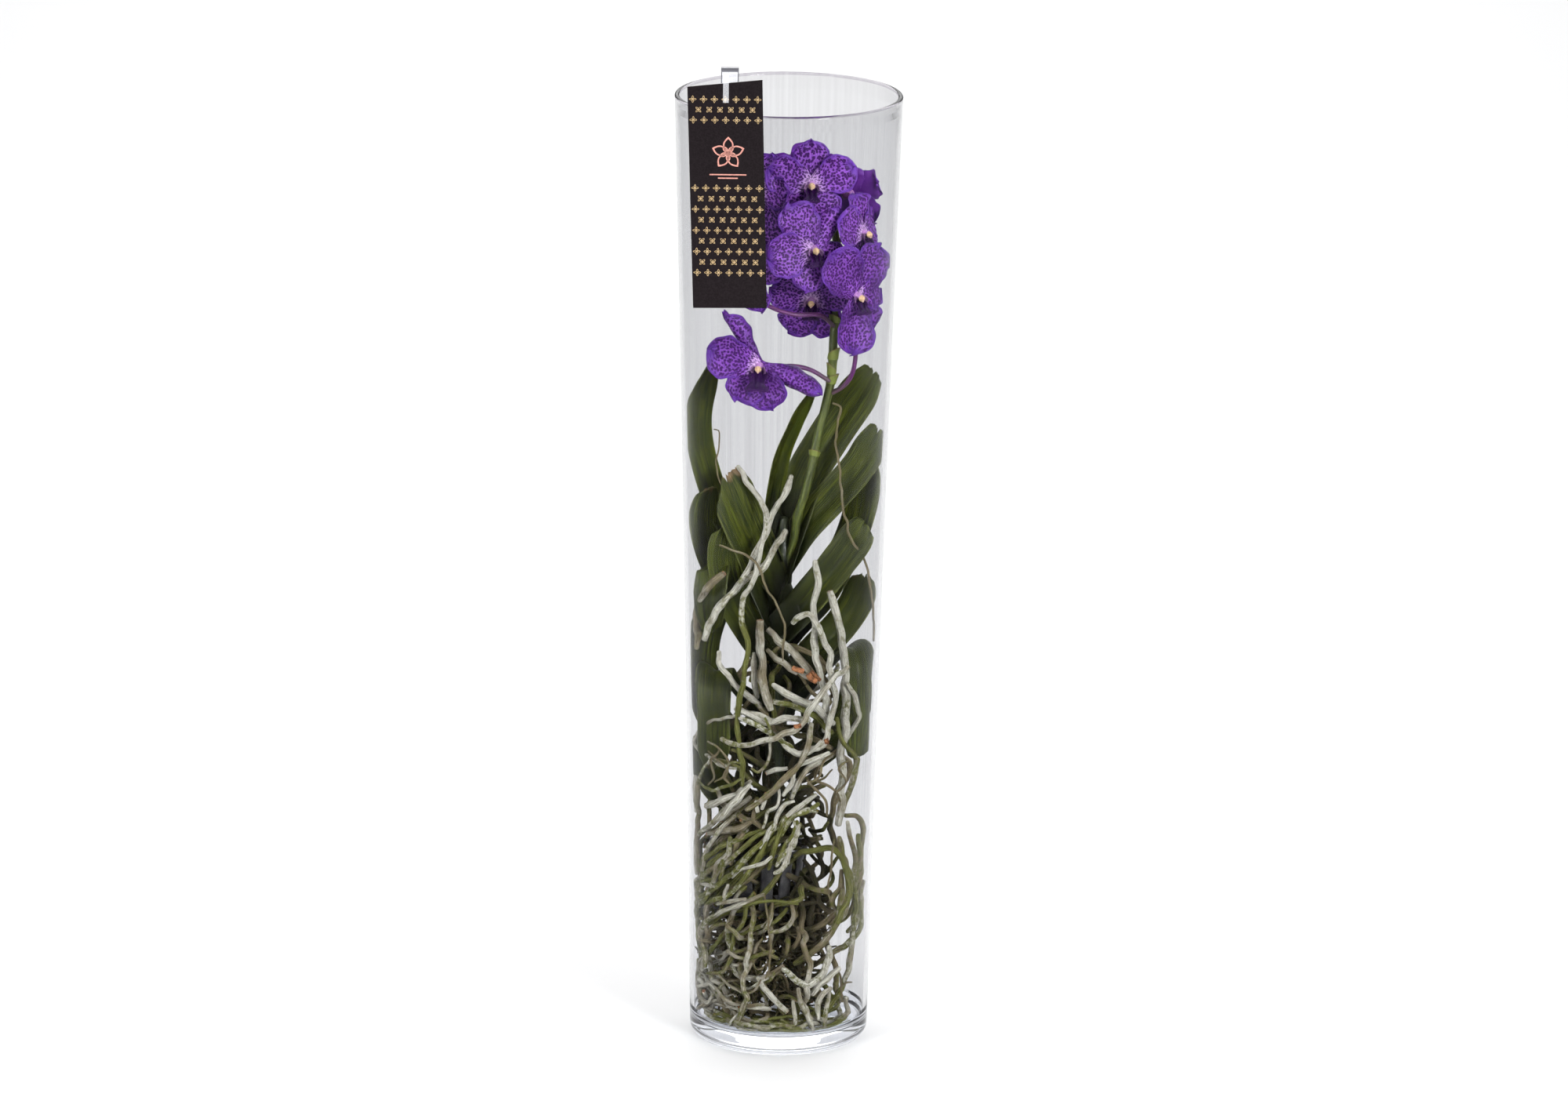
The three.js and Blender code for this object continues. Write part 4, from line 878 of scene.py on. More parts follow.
def leaf_shape(leaf, seed):
    """A keeled strap along its spine. In the grid, v runs from the stem to the tip and u across the blade."""
    rng = np.random.default_rng(seed)
    rows, cols = LEAF_GRID
    line = smooth_line(leaf["spine"], count=SPINE_POINTS)
    length = float(np.linalg.norm(np.diff(line, axis=0), axis=1).sum())
    forward = tangents(line)
    u = np.linspace(-1, 1, cols)
    left, middle, right = leaf["tip"]
    jag = np.interp(u, [-1, -0.12, 0, 0.12, 1], [left, middle * 0.3, middle, middle * 0.3, right])
    torn = rng.uniform(0, 2.4 + 6 * max(0, leaf["dry"] - 0.35), cols)
    jag = jag + torn * (1 - 0.7 * abs(u)) + 2.5 * abs(u) ** 3
    v = np.linspace(0, 1, rows)[:, None] * np.ones(cols)
    v = v - (jag / length)[None, :] * ease(v, 0.5, 1.0)
    u = np.broadcast_to(u, v.shape)
    place, index = v * (SPINE_POINTS - 1), np.arange(SPINE_POINTS)
    at = stack(*(np.interp(place, index, line[:, k]) for k in range(3)))
    ahead = unit(stack(*(np.interp(place, index, forward[:, k]) for k in range(3))))
    low, high = np.asarray(leaf["face"], float)
    face = low * (1 - v[..., None]) + high * v[..., None]
    side = unit(np.cross(ahead, face))
    normal = np.cross(side, ahead)
    swell = 0.86 + 0.14 * np.sin(math.pi / 2 * np.minimum(1, v / 0.5))
    tip = np.sqrt(np.clip(1 - 0.78 * ease(v, 0.82, 1.02) ** 1.5, 0.05, 1))
    half = leaf["width"] / 2 * swell * tip
    depth = 0.75 + (0.2 - 0.75) * v + 0.9 * (1 - ease(v, 0, 0.3))
    wave = rng.uniform(0, PHASE, 3)
    across = np.abs(u)
    lift = half * depth * (np.sqrt(u * u + 0.012) - 0.11) - 0.10 * half * across**5
    lift = lift + 0.55 * np.sin(v * 9 + wave[0]) * across**2 * ease(v, 0.15, 0.4) * np.sign(u + 1e-9)
    lift = lift + 0.35 * np.sin(v * 23 + wave[1]) * across**3
    sway = 0.5 * np.sin(v * 7 + wave[2]) * ease(v, 0.1, 0.3)
    points = at + side * (u * half + sway)[..., None] + normal * lift[..., None]
    points = keep_inside(points, 1.15)
    thickness = 1.9 * (1 - 0.82 * across**2.2) * (1 - 0.35 * v)
    margin = np.maximum(across, ease(v, 0.93, 1.0))
    dry = leaf["dry"] * ease(v + 0.02 * np.sin(9 * u + wave[0]), 0.97 - 0.14 * leaf["dry"], 1.0)
    # Painted shade: the dryness drops below 0 towards the stem, darkening the leaves' feet where they shade
    # each other.
    dry = dry + 0.1 * leaf["dry"] - 0.9 * (1 - ease(v, 0.1, 0.62))
    uv = stack(u * leaf["width"] / 2 + 40 * seed, v * length)
    tint = stack(margin, dry, 0)
    return sheet(points, thickness, uv, tint)


for index, leaf in enumerate(LEAVES):
    number = f"{index + 1:02d}"
    make_piece(f"strap_leaf_{number}", [leaf_shape(leaf, 60 + index)], [LEAF], [f"leaf_{number}"])

# ---------------------------------------------------------------- flowers
# at is the foot of the column, face where the flower looks; a tepal is its angle from upright, clockwise
# seen from the front, its length, its width and how far its tip bends to the front, then how much it
# rolls across (positive: margins to the front) and how much it twists along its length, in degrees.
# stalk is the flower stalk's route from the spike, without its last two points; shade is painted shade that
# darkens the flower.
SEPAL = 25
PETAL_W = 29
PETAL_ANGLES = range(55, 101)  # a tepal this far from upright is a petal and lies in front of the sepals
FLOWERS = [
    {"at": [17, -26, 640], "face": [0, -1, 0.1], "stalk": [[28, 4, 648], [24, -6, 656]],
     "tepals": [[-2, 32, SEPAL + 3, 2, -0.15, 0], [-70, 33, PETAL_W, 3, 0.05, 8],
                [66, 33, PETAL_W, 2, 0.05, -8], [-142, 30, SEPAL, -4, -0.2, 0],
                [146, 30, SEPAL, -4, -0.2, 0]]},
    {"at": [19, -37, 595], "face": [0.3, -0.95, 0.1], "stalk": [[31, 6, 618], [28, -12, 622]],
     "tepals": [[-28, 38, SEPAL + 8, 3, -0.1, 0], [32, 35, PETAL_W, 0, -0.9, 25],
                [-98, 35, PETAL_W + 6, 1, 0.1, 0], [110, 26, SEPAL, -8, -0.5, 0],
                [-165, 31, SEPAL + 2, 4, -0.15, 0]]},
    {"at": [50.5, -31, 560], "face": [0.55, -0.83, 0], "shade": 0.45,
     "stalk": [[34, -1, 482], [41, -5, 487], [48, -10, 499], [50, -13, 530]],
     "tepals": [[30, 40, SEPAL + 8, 0, -0.1, 0], [-36, 42, PETAL_W + 9, 4, 0.1, 0],
                [88, 26, SEPAL, -10, 0, 0], [-172, 42, SEPAL + 9, 3, 0.15, 0],
                [146, 34, SEPAL - 4, -6, 0, 0]]},
    {"at": [54, -13, 602], "face": [0.8, -0.6, 0.1], "stalk": [[35, 5, 590], [44, 4, 598]],
     "tepals": [[-4, 29, SEPAL + 4, 0, -0.1, 0], [-66, 33, PETAL_W + 2, 2, 0.05, 0],
                [75, 22, PETAL_W, -6, 0, 0], [-140, 30, SEPAL + 3, 0, 0, 0],
                [150, 27, SEPAL + 2, -6, 0, 0]]},
    {"at": [46, 12, 626], "face": [0.55, 0.78, 0.15], "stalk": [[30, 6, 630], [37, 7, 634]],
     "tepals": [[-14, 23, SEPAL - 6, -4, 0.4, 0], [-66, 24, SEPAL, 3, 0.3, 0], [62, 28, SEPAL, -3, 0.3, 0],
                [-140, 27, SEPAL, 3, 0, 0], [138, 27, SEPAL, 3, 0, 0]]},
    {"at": [-20, -20, 632], "face": [-0.5, -0.85, 0.05], "stalk": [[29, 6, 630], [6, -2, 640]],
     "tepals": [[14, 30, SEPAL, 0, 0, 0], [-60, 30, PETAL_W, 1, 0, 0], [84, 26, SEPAL, 2, 0, 0],
                [-134, 30, SEPAL, -2, 0, 0], [152, 44, SEPAL + 6, -2, 0, 0]]},
    {"at": [-28, -16, 577], "face": [-0.6, -0.78, 0.1],
     "stalk": [[35, 0, 530], [24, -12, 541], [4, -22, 544], [-16, -22, 552], [-27, -14, 566]],
     "tepals": [[8, 30, SEPAL, 2, 0, 0], [-66, 30, PETAL_W, 1, 0, 0], [78, 30, PETAL_W, -3, 0, 0],
                [-138, 30, SEPAL, 0, 0, 0], [156, 34, SEPAL, 0, 0, 0]]},
    {"at": [-19, -30, 507.5], "face": [-0.15, -0.97, -0.1], "lip": 1.35, "shade": 0.5,
     "stalk": [[31, -3, 491], [17, -7, 500], [3, -12, 503.5], [-10, -18, 503.5]],
     "tepals": [[-37, 46, 20, -2, -1.0, 50], [-74, 38, PETAL_W + 5, -1, 0.1, 0], [114, 48, 24, 2, -1.3, 10],
                [-148, 31, SEPAL + 5, 4, 0.1, 0], [162, 33, SEPAL + 5, 5, 0.1, 0]]},
    {"at": [18, -1, 550], "face": [-0.1, -0.95, -0.25], "stalk": [[36, 4, 560], [30, 12, 562], [22, 14, 556]],
     "tepals": [[4, 30, SEPAL, -2, 0, 0], [-72, 31, PETAL_W, 2, 0, 0], [70, 31, PETAL_W, 2, 0, 0],
                [-148, 33, SEPAL + 4, 0, 0, 0], [150, 33, SEPAL + 4, 0, 0, 0]]},
    {"at": [13, 31, 629], "face": [0.1, 0.95, 0.15], "stalk": [[30, 6, 640], [24, 14, 642]],
     "tepals": [[-3, 31, SEPAL, 2, 0, 0], [-70, 32, PETAL_W, 3, 0, 0], [69, 32, PETAL_W, 2, 0, 0],
                [-142, 30, SEPAL, 0, 0, 0], [142, 30, SEPAL, 0, 0, 0]]},
]


def flower_frame(flower):
    """Where the flower is, where it looks, and its right and up."""
    face = unit(flower["face"])
    right = unit(np.cross([0, 0, 1], face))
    up = np.cross(face, right)
    if up[2] < 0:
        up = -up
    return np.asarray(flower["at"], float), face, right, up


TEPAL_GRID = (34, 25)
WIDEST = 0.58
FOOT_HALF = 2.4


def tepal_shape(frame_of, tepal, seed, lift, shade):
    """One tepal, lifted to the front of the flower's plane. v runs outwards from the column, u across."""
    at, face, right, up = frame_of
    angle, length, width, bend, roll, twist = tepal
    rng = np.random.default_rng(seed)
    rows, cols = TEPAL_GRID
    turn = math.radians(angle)
    outwards = up * math.cos(turn) + right * math.sin(turn)
    side = np.cross(outwards, face)
    v, u = np.meshgrid(np.linspace(0, 1, rows) ** 0.85, np.linspace(-1, 1, cols), indexing="ij")
    phase = rng.uniform(0, PHASE, 8)
    beyond = np.maximum(v - WIDEST, 0) / (1 - WIDEST)
    body = np.where(v < WIDEST, ease(v, -0.28, WIDEST) ** 1.25, np.sqrt(np.clip(1 - beyond**2.3, 0, 1)))
    half = FOOT_HALF + (width / 2 - FOOT_HALF) * body
    half = np.where(v > 0.9, half - FOOT_HALF * ease(v, 0.9, 1.0), half)
    half = half * (1 + 0.045 * np.sin(11 * v + phase[0]) + 0.03 * np.sin(23 * v + phase[1]))
    reach = length * v * (1 + 0.03 * np.sin(3 * u + phase[2]) + 0.02 * np.sin(8 * u + phase[3]))
    across = np.abs(u)
    rim = ease(v, 0.25, 0.7)
    curl = bend * v**2 - 0.7 * np.exp(-((u / 0.16) ** 2)) * (1 - v) + 0.5 * np.cos(u * 9) * (1 - across) * 0.4
    curl = curl + (0.10 + roll) * half * u * u * ease(v, 0.05, 0.5)
    ruffle = 1.25 * np.sin(9 * v + 2.2 * np.sign(u) + phase[4]) + 0.7 * np.sin(19 * v + phase[5])
    curl = curl + rim * across**2.2 * ruffle
    ruffle = np.sin(5.5 * u + phase[6]) + 0.6 * np.sin(12 * u + phase[7])
    curl = curl + ease(v, 0.72, 1.0) * ruffle - 1.6 * ease(v, 0.8, 1) ** 2
    squeeze = 1 - 0.42 * min(1.0, abs(roll)) * u * u * ease(v, 0.05, 0.5)
    spin = math.radians(twist) * v
    sideways = side * np.cos(spin)[..., None] + face * np.sin(spin)[..., None]
    frontwards = face * np.cos(spin)[..., None] - side * np.sin(spin)[..., None]
    points = at + face * lift + outwards * reach[..., None]
    points = points + sideways * (u * half * squeeze)[..., None] + frontwards * curl[..., None]
    points = keep_inside(points, 0.9)
    thickness = 0.95 * (1 - 0.6 * across**2) * (1 - 0.45 * v)
    margin = np.maximum(across**1.2 * ease(v, 0.1, 0.35), v**1.6)
    pale = 0.95 * (1 - ease(v, 0.04, 0.34)) * (1 - 0.5 * across)
    # Painted shade: sepals lie behind the petals, so they darken towards their foot and sides, and take less of
    # the pale throat.
    if lift < 0:
        pale = pale * 0.4 - 0.9 * (1 - ease(v, 0.25, 0.7)) * across
    # Painted shade over the whole flower, as strong as the flower's shade.
    pale = pale - shade * ease(v, 0.1, 0.4)
    uv = stack(u * width / 2 + 50 * (seed % 97), reach)
    tint = stack(margin, pale, 0)
    return sheet(points, thickness, uv, tint)


def flower_centre(frame_of, seed, lip_size):
    """The column with its cap, the side lobes by it and the lip below it."""
    at, face, right, up = frame_of
    rng = np.random.default_rng(seed)
    shapes = []
    line = np.array([at + face * s - up * (0.04 * s * s - 0.4) for s in np.linspace(-2, 4.6, 12)])
    radius = np.interp(np.linspace(0, 1, 12), [0, 0.25, 0.7, 1], [3.2, 2.9, 2.1, 1.9])
    tint = np.zeros((12, 3))
    tint[:, 1] = np.linspace(0.5, 0.05, 12)
    shapes.append(tube(line, radius, 16, tint, slot=2))
    cap = line[-1] + face * 0.7 - up * 0.3
    cap_line = np.array([cap + face * s for s in (-0.9, -0.2, 0.5, 1.1)])
    shapes.append(tube(cap_line, [2.0, 2.45, 2.3, 1.5], 18, [1, 0, 0], slot=2))
    beak = np.array([cap + face * 1.0 - up * 0.6, cap + face * 1.3 - up * 1.5, cap + face * 1.2 - up * 2.2])
    shapes.append(tube(beak, [1.2, 1.0, 0.6], 10, [0.8, 0.2, 0], slot=2))
    for sign in (-1, 1):
        v, u = np.meshgrid(np.linspace(0, 1, 10), np.linspace(-1, 1, 9), indexing="ij")
        half = 2.6 * np.sin(math.pi * (0.18 + 0.78 * v)) ** 0.8
        points = at + right * (sign * (2.8 + 2.6 * v))[..., None] + face * (0.5 + 4.2 * v)[..., None]
        points = points + up * (-2.0 + u * half - 0.4 * sign * v)[..., None] + face * (0.8 * u * u)[..., None]
        tint = stack(np.maximum(abs(u), v), 0.75 - 0.5 * v, 0)
        shapes.append(sheet(points, 0.7, stack(u, v), tint, slot=1))
    forward = unit(face * 0.8 - up * 0.6)
    lip_up = unit(np.cross(right, forward))
    if np.dot(lip_up, up) < 0:
        lip_up = -lip_up
    v, u = np.meshgrid(np.linspace(0, 1, 26), np.linspace(-1, 1, 21), indexing="ij")
    half = 2.0 + 3.2 * ease(v, 0.0, 0.25) - 1.2 * np.exp(-(((v - 0.62) / 0.16) ** 2)) + 1.2 * ease(v, 0.65, 0.9)
    half = half * np.sqrt(np.clip(1 - ease(v, 0.9, 1.04) ** 2 * 0.9, 0.05, 1))
    ridge = 0.9 * np.cos(u * math.pi * 2.5) * np.exp(-((u / 0.7) ** 2))
    ridge = ridge * ease(v, 0.0, 0.2) * (1 - ease(v, 0.6, 0.95))
    half = half * lip_size
    reach = 13 * lip_size * v * (1 + 0.05 * abs(u))
    points = at - up * 2.0 + forward * reach[..., None] + right * (u * half)[..., None]
    droop = -2.6 * v**2 + 1.4 * u * u * (1 - 0.9 * v) + ridge + 0.3 * np.sin(7 * v + rng.uniform(0, 6))
    points = keep_inside(points + lip_up * droop[..., None], 0.9)
    tint = stack(np.maximum(abs(u) ** 1.5, v**3), 0.75 * (1 - ease(v, 0.0, 0.16)), 0)
    shapes.append(sheet(points, 1.1 * (1 - 0.6 * abs(u)), stack(u * 5, v * 14), tint, slot=1))
    return shapes


def flower_piece(index, flower):
    frame_of = flower_frame(flower)
    shapes = []
    for k, tepal in enumerate(flower["tepals"]):
        lift = 0.9 if abs(tepal[0]) in PETAL_ANGLES else -0.7
        shapes.append(tepal_shape(frame_of, tepal, 100 + 7 * index + k, lift, flower.get("shade", 0)))
    shapes += flower_centre(frame_of, 300 + index, flower.get("lip", 1.0))
    number = f"{index + 1:02d}"
    make_piece(f"orchid_flower_{number}", shapes, [PETAL, LIP, COLUMN], [f"flower_{number}"])


def stalk_piece(index, flower):
    at, face, _, _ = flower_frame(flower)
    route = [*flower["stalk"], at - face * 9, at - face * 1.5]
    line = keep_inside(smooth_line(route, step=1.2), 2.6)
    share = np.linspace(0, 1, len(line))
    radius = 1.65 + 0.45 * ease(share, 0.8, 1.0) + 0.25 * (1 - ease(share, 0, 0.06))
    tint = stack(0, 0, 0.25 * (1 - ease(share, 0, 0.25)))
    number = f"{index + 1:02d}"
    made = tube(line, radius, 16, tint, lump=0.02, seed=index)
    make_piece(f"flower_stalk_{number}", [made], [STALK_PURPLE], [f"pedicel_{number}"])


for index, flower in enumerate(FLOWERS):
    flower_piece(index, flower)
    stalk_piece(index, flower)

# ---------------------------------------------------------------- roots
# Diameter, moss (one value, or one at each end), the kinds of its two ends, and the route.
ROOTS = [
    (4.0, (-0.3, 1.3), "TT", [[-32.5, -12, 430], [-27, -14, 421.5], [-17.5, -20, 406], [-13, -25, 395],
      [-16, -30, 371], [-20, -34, 354], [-28.5, -42, 331], [-27, -45, 315], [-25, -48, 300],
      [-27, -50, 288], [-31.5, -50, 254], [-31, -50, 238], [-28.5, -50, 202]]),
    (5.4, 0.0, "TB", [[1.5, -11, 382], [-5.5, -13, 370], [-15, -17, 356], [-33, -26, 342], [-44, -32, 330],
      [-52.5, -34, 318], [-57, -29, 306]]),
    (4.5, 0.0, "TT", [[5, -8, 420], [1, -9, 408], [-5.5, -11, 397.5], [-10, -14, 387], [-24, -26, 358],
      [-31, -33, 349]]),
    (5.0, 0.0, "BT", [[-43, -42, 357], [-53.5, -34, 345], [-61, -21, 327], [-62, -17, 314],
      [-62, -12, 294]]),
    (6.2, 0.1, "BT", [[33, -36, 343], [37, -36, 331], [41, -36, 314], [43, -36, 297], [45, -36, 280],
      [46, -36, 258], [44, -36, 232], [43, -36, 214], [44, -36, 190], [42, -36, 170]]),
    (5.2, 0.0, "TT", [[22.5, -42, 366], [22.5, -43, 338], [23, -44, 314], [25, -44, 297], [29, -43, 280],
      [32, -40, 262], [30, -34, 240]]),
    (4.5, 0.1, "BB", [[5.5, -46, 322], [12, -50, 328.5], [18.5, -53, 331], [24, -54, 325], [29.5, -52, 313],
      [35, -48, 301], [34, -45, 290], [34.5, -45, 281], [38, -46, 266], [36, -48, 256], [33, -50, 245],
      [31.5, -51, 234], [24.5, -51, 228], [18, -50, 226]]),
    (6.3, 0.0, "BB", [[-17, -34, 318], [-15.5, -36, 295], [-14.5, -37, 281], [-12, -38, 267],
      [-8.5, -39, 255]]),
    (5.5, 0.0, "BB", [[-10, -27, 312], [0, -31, 303], [10, -34, 296], [21, -35, 282], [27, -35, 274]]),
    (5.0, 0.1, "TT", [[-4, -30, 271], [3, -33, 266], [11, -36, 261], [22, -34, 256]]),
    (4.5, 0.1, "BT", [[47.5, -43.5, 290], [41, -48.5, 284], [36, -53, 279], [30.5, -55, 275],
      [24, -57, 266], [17.5, -58, 254], [13, -58, 247], [3, -58, 242], [-10.5, -58.5, 237],
      [-23.5, -57, 233], [-33, -53.5, 233], [-42, -47, 235]]),
    (4.5, 0.35, "TT", [[21, -52, 248], [20.5, -55, 236], [15, -57, 225], [8.5, -57, 214], [-0.5, -57, 205],
      [-13, -55, 194], [-24, -52, 184]]),
    (3.8, 0.55, "TT", [[47.5, -28, 174], [55, -20, 170], [58.5, -14, 163], [59.5, -10, 151], [59, -8, 136],
      [57, -9, 112], [51.5, -12, 98], [42, -16, 88]]),
    (4.0, 0.55, "TT", [[41.5, -45, 160], [45, -42, 150], [48.5, -37, 139], [52.5, -28, 122], [53, -25, 108],
      [53, -24, 92], [51, -25, 65], [47, -27, 46], [38, -30, 30], [33, -32, 19]]),
    (3.8, 0.5, "TT", [[-58, -12, 196], [-59.5, -14, 184], [-60, -12, 151], [-59, -12, 126], [-58, -10, 98],
      [-57, -8, 70], [-55, -7, 46], [-50, -6, 28]]),
    (4.5, 0.95, "TT", [[-52, -24, 103], [-43, -32, 116], [-26.5, -43, 134], [-13.5, -48, 152],
      [-2.5, -49, 168]]),
]


def wander(rng, along, reach, gap):
    """Smooth random offsets along a line, with a new value at every gap."""
    knots = rng.normal(0, reach, int(along[-1] / gap) + 3)
    i = (along / gap).astype(int)
    share = ease(along / gap - i, 0, 1)
    return knots[i] * (1 - share) + knots[i + 1] * share


def root_shape(diameter, moss, ends, route, seed, brown=0.0, step=1.6, sides=12, sway=0.8, tone=None):
    """A root that wanders a little round its route.

    Brown is the rust: 1 is a fresh broken face, and between 0.3 and 1 it stands for a dull, dead root.
    Tone is drawn at random where none is given, and roots low down get a higher one; roots far inside the
    tangle get more still, which is painted shade.
    """
    rng = np.random.default_rng(seed)
    line = smooth_line(route, step=step)
    along = np.arange(len(line)) * step
    for k in range(3):
        line[:, k] += wander(rng, along, sway, 15) + wander(rng, along, 0.5 * sway, 6.5)
    line = keep_inside(line, diameter / 2 + 0.8)
    ahead = ease(along, 0, 9) * ease(along[-1] - along, 0, 9)
    radius = diameter / 2 * (1 + wander(rng, along, 0.07, 8)) * (0.78 + 0.22 * ahead)
    if 0.3 < brown < 1:
        brown, tone = 0.05, 1.0
    dim = 0.4 if tone is None else 0.15
    tone = rng.choice([rng.uniform(0, 0.3), rng.uniform(0.3, 0.8)]) if tone is None else tone
    moss = np.linspace(*moss, len(line)) if isinstance(moss, tuple) else moss
    shade = moss + wander(rng, along, 0.22, 22)
    # Painted shade: roots near the axis and below the leaves, far inside the tangle, get a darker tone.
    painted_tangle_shade = ease(np.hypot(line[:, 0], line[:, 1]), 52, 32) * ease(line[:, 2], 260, 225)
    tone = tone + dim * ease(line[:, 2], 225, 165) * ease(line[:, 2], 60, 110) + 1.1 * painted_tangle_shade
    tint = stack(shade, brown, tone)
    return tube(line, radius, sides, tint, ends, lump=0.03, seed=seed)


for index, (diameter, moss, ends, route) in enumerate(ROOTS):
    number = f"{index + 1:02d}"
    made = root_shape(diameter, moss, ends, route, 400 + index)
    make_piece(f"air_root_{number}", [made], [ROOT], [f"root_{number}"])

# The crown of roots at the stem's foot: the slot between two slats that each leaves through, the point
# where it comes down, the one where it lands, and its end.
CROWN_D = 4.2
REST = BASE + 0.35 + CROWN_D / 2 + 0.2  # height of a root's middle when it lies on the glass floor
CROWN = [
    (0, [38, 8, 60], [42, 14, REST], [22, 36, REST]),
    (2, [12, 48, 66], [8, 50, REST], [-22, 38, REST]),
    (4, [-26, 50, 62], [-36, 40, REST], [-46, 14, REST]),
    (8, [-50, -20, 70], [-44, -22, 32], [-34, -34, REST]),
    (10, [-27, -50, 66], [-22, -48, REST], [4, -50, REST]),
    (12, [18, -46, 62], [22, -42, REST], [42, -14, REST]),
]


def slot_point(slat, height, outwards):
    angle = 2 * math.pi * (slat + 0.5) / SLATS
    radius = BASKET_BOTTOM + (BASKET_TOP - BASKET_BOTTOM) * height / BASKET_HEIGHT + outwards
    return [BASKET[0] + radius * math.cos(angle), BASKET[1] + radius * math.sin(angle), BASKET[2] + height]


crown = []
for k, (slat, down, land, end) in enumerate(CROWN):
    route = [[STEM[0][0], STEM[0][1], 104], slot_point(slat, 14, 1), slot_point(slat, 12, 8), down, land, end]
    crown.append(root_shape(CROWN_D, 0.25, "TT", route, 430 + k, sway=1.8, tone=0.6))
make_piece("crown_roots", crown, [ROOT], ["root_crown"])

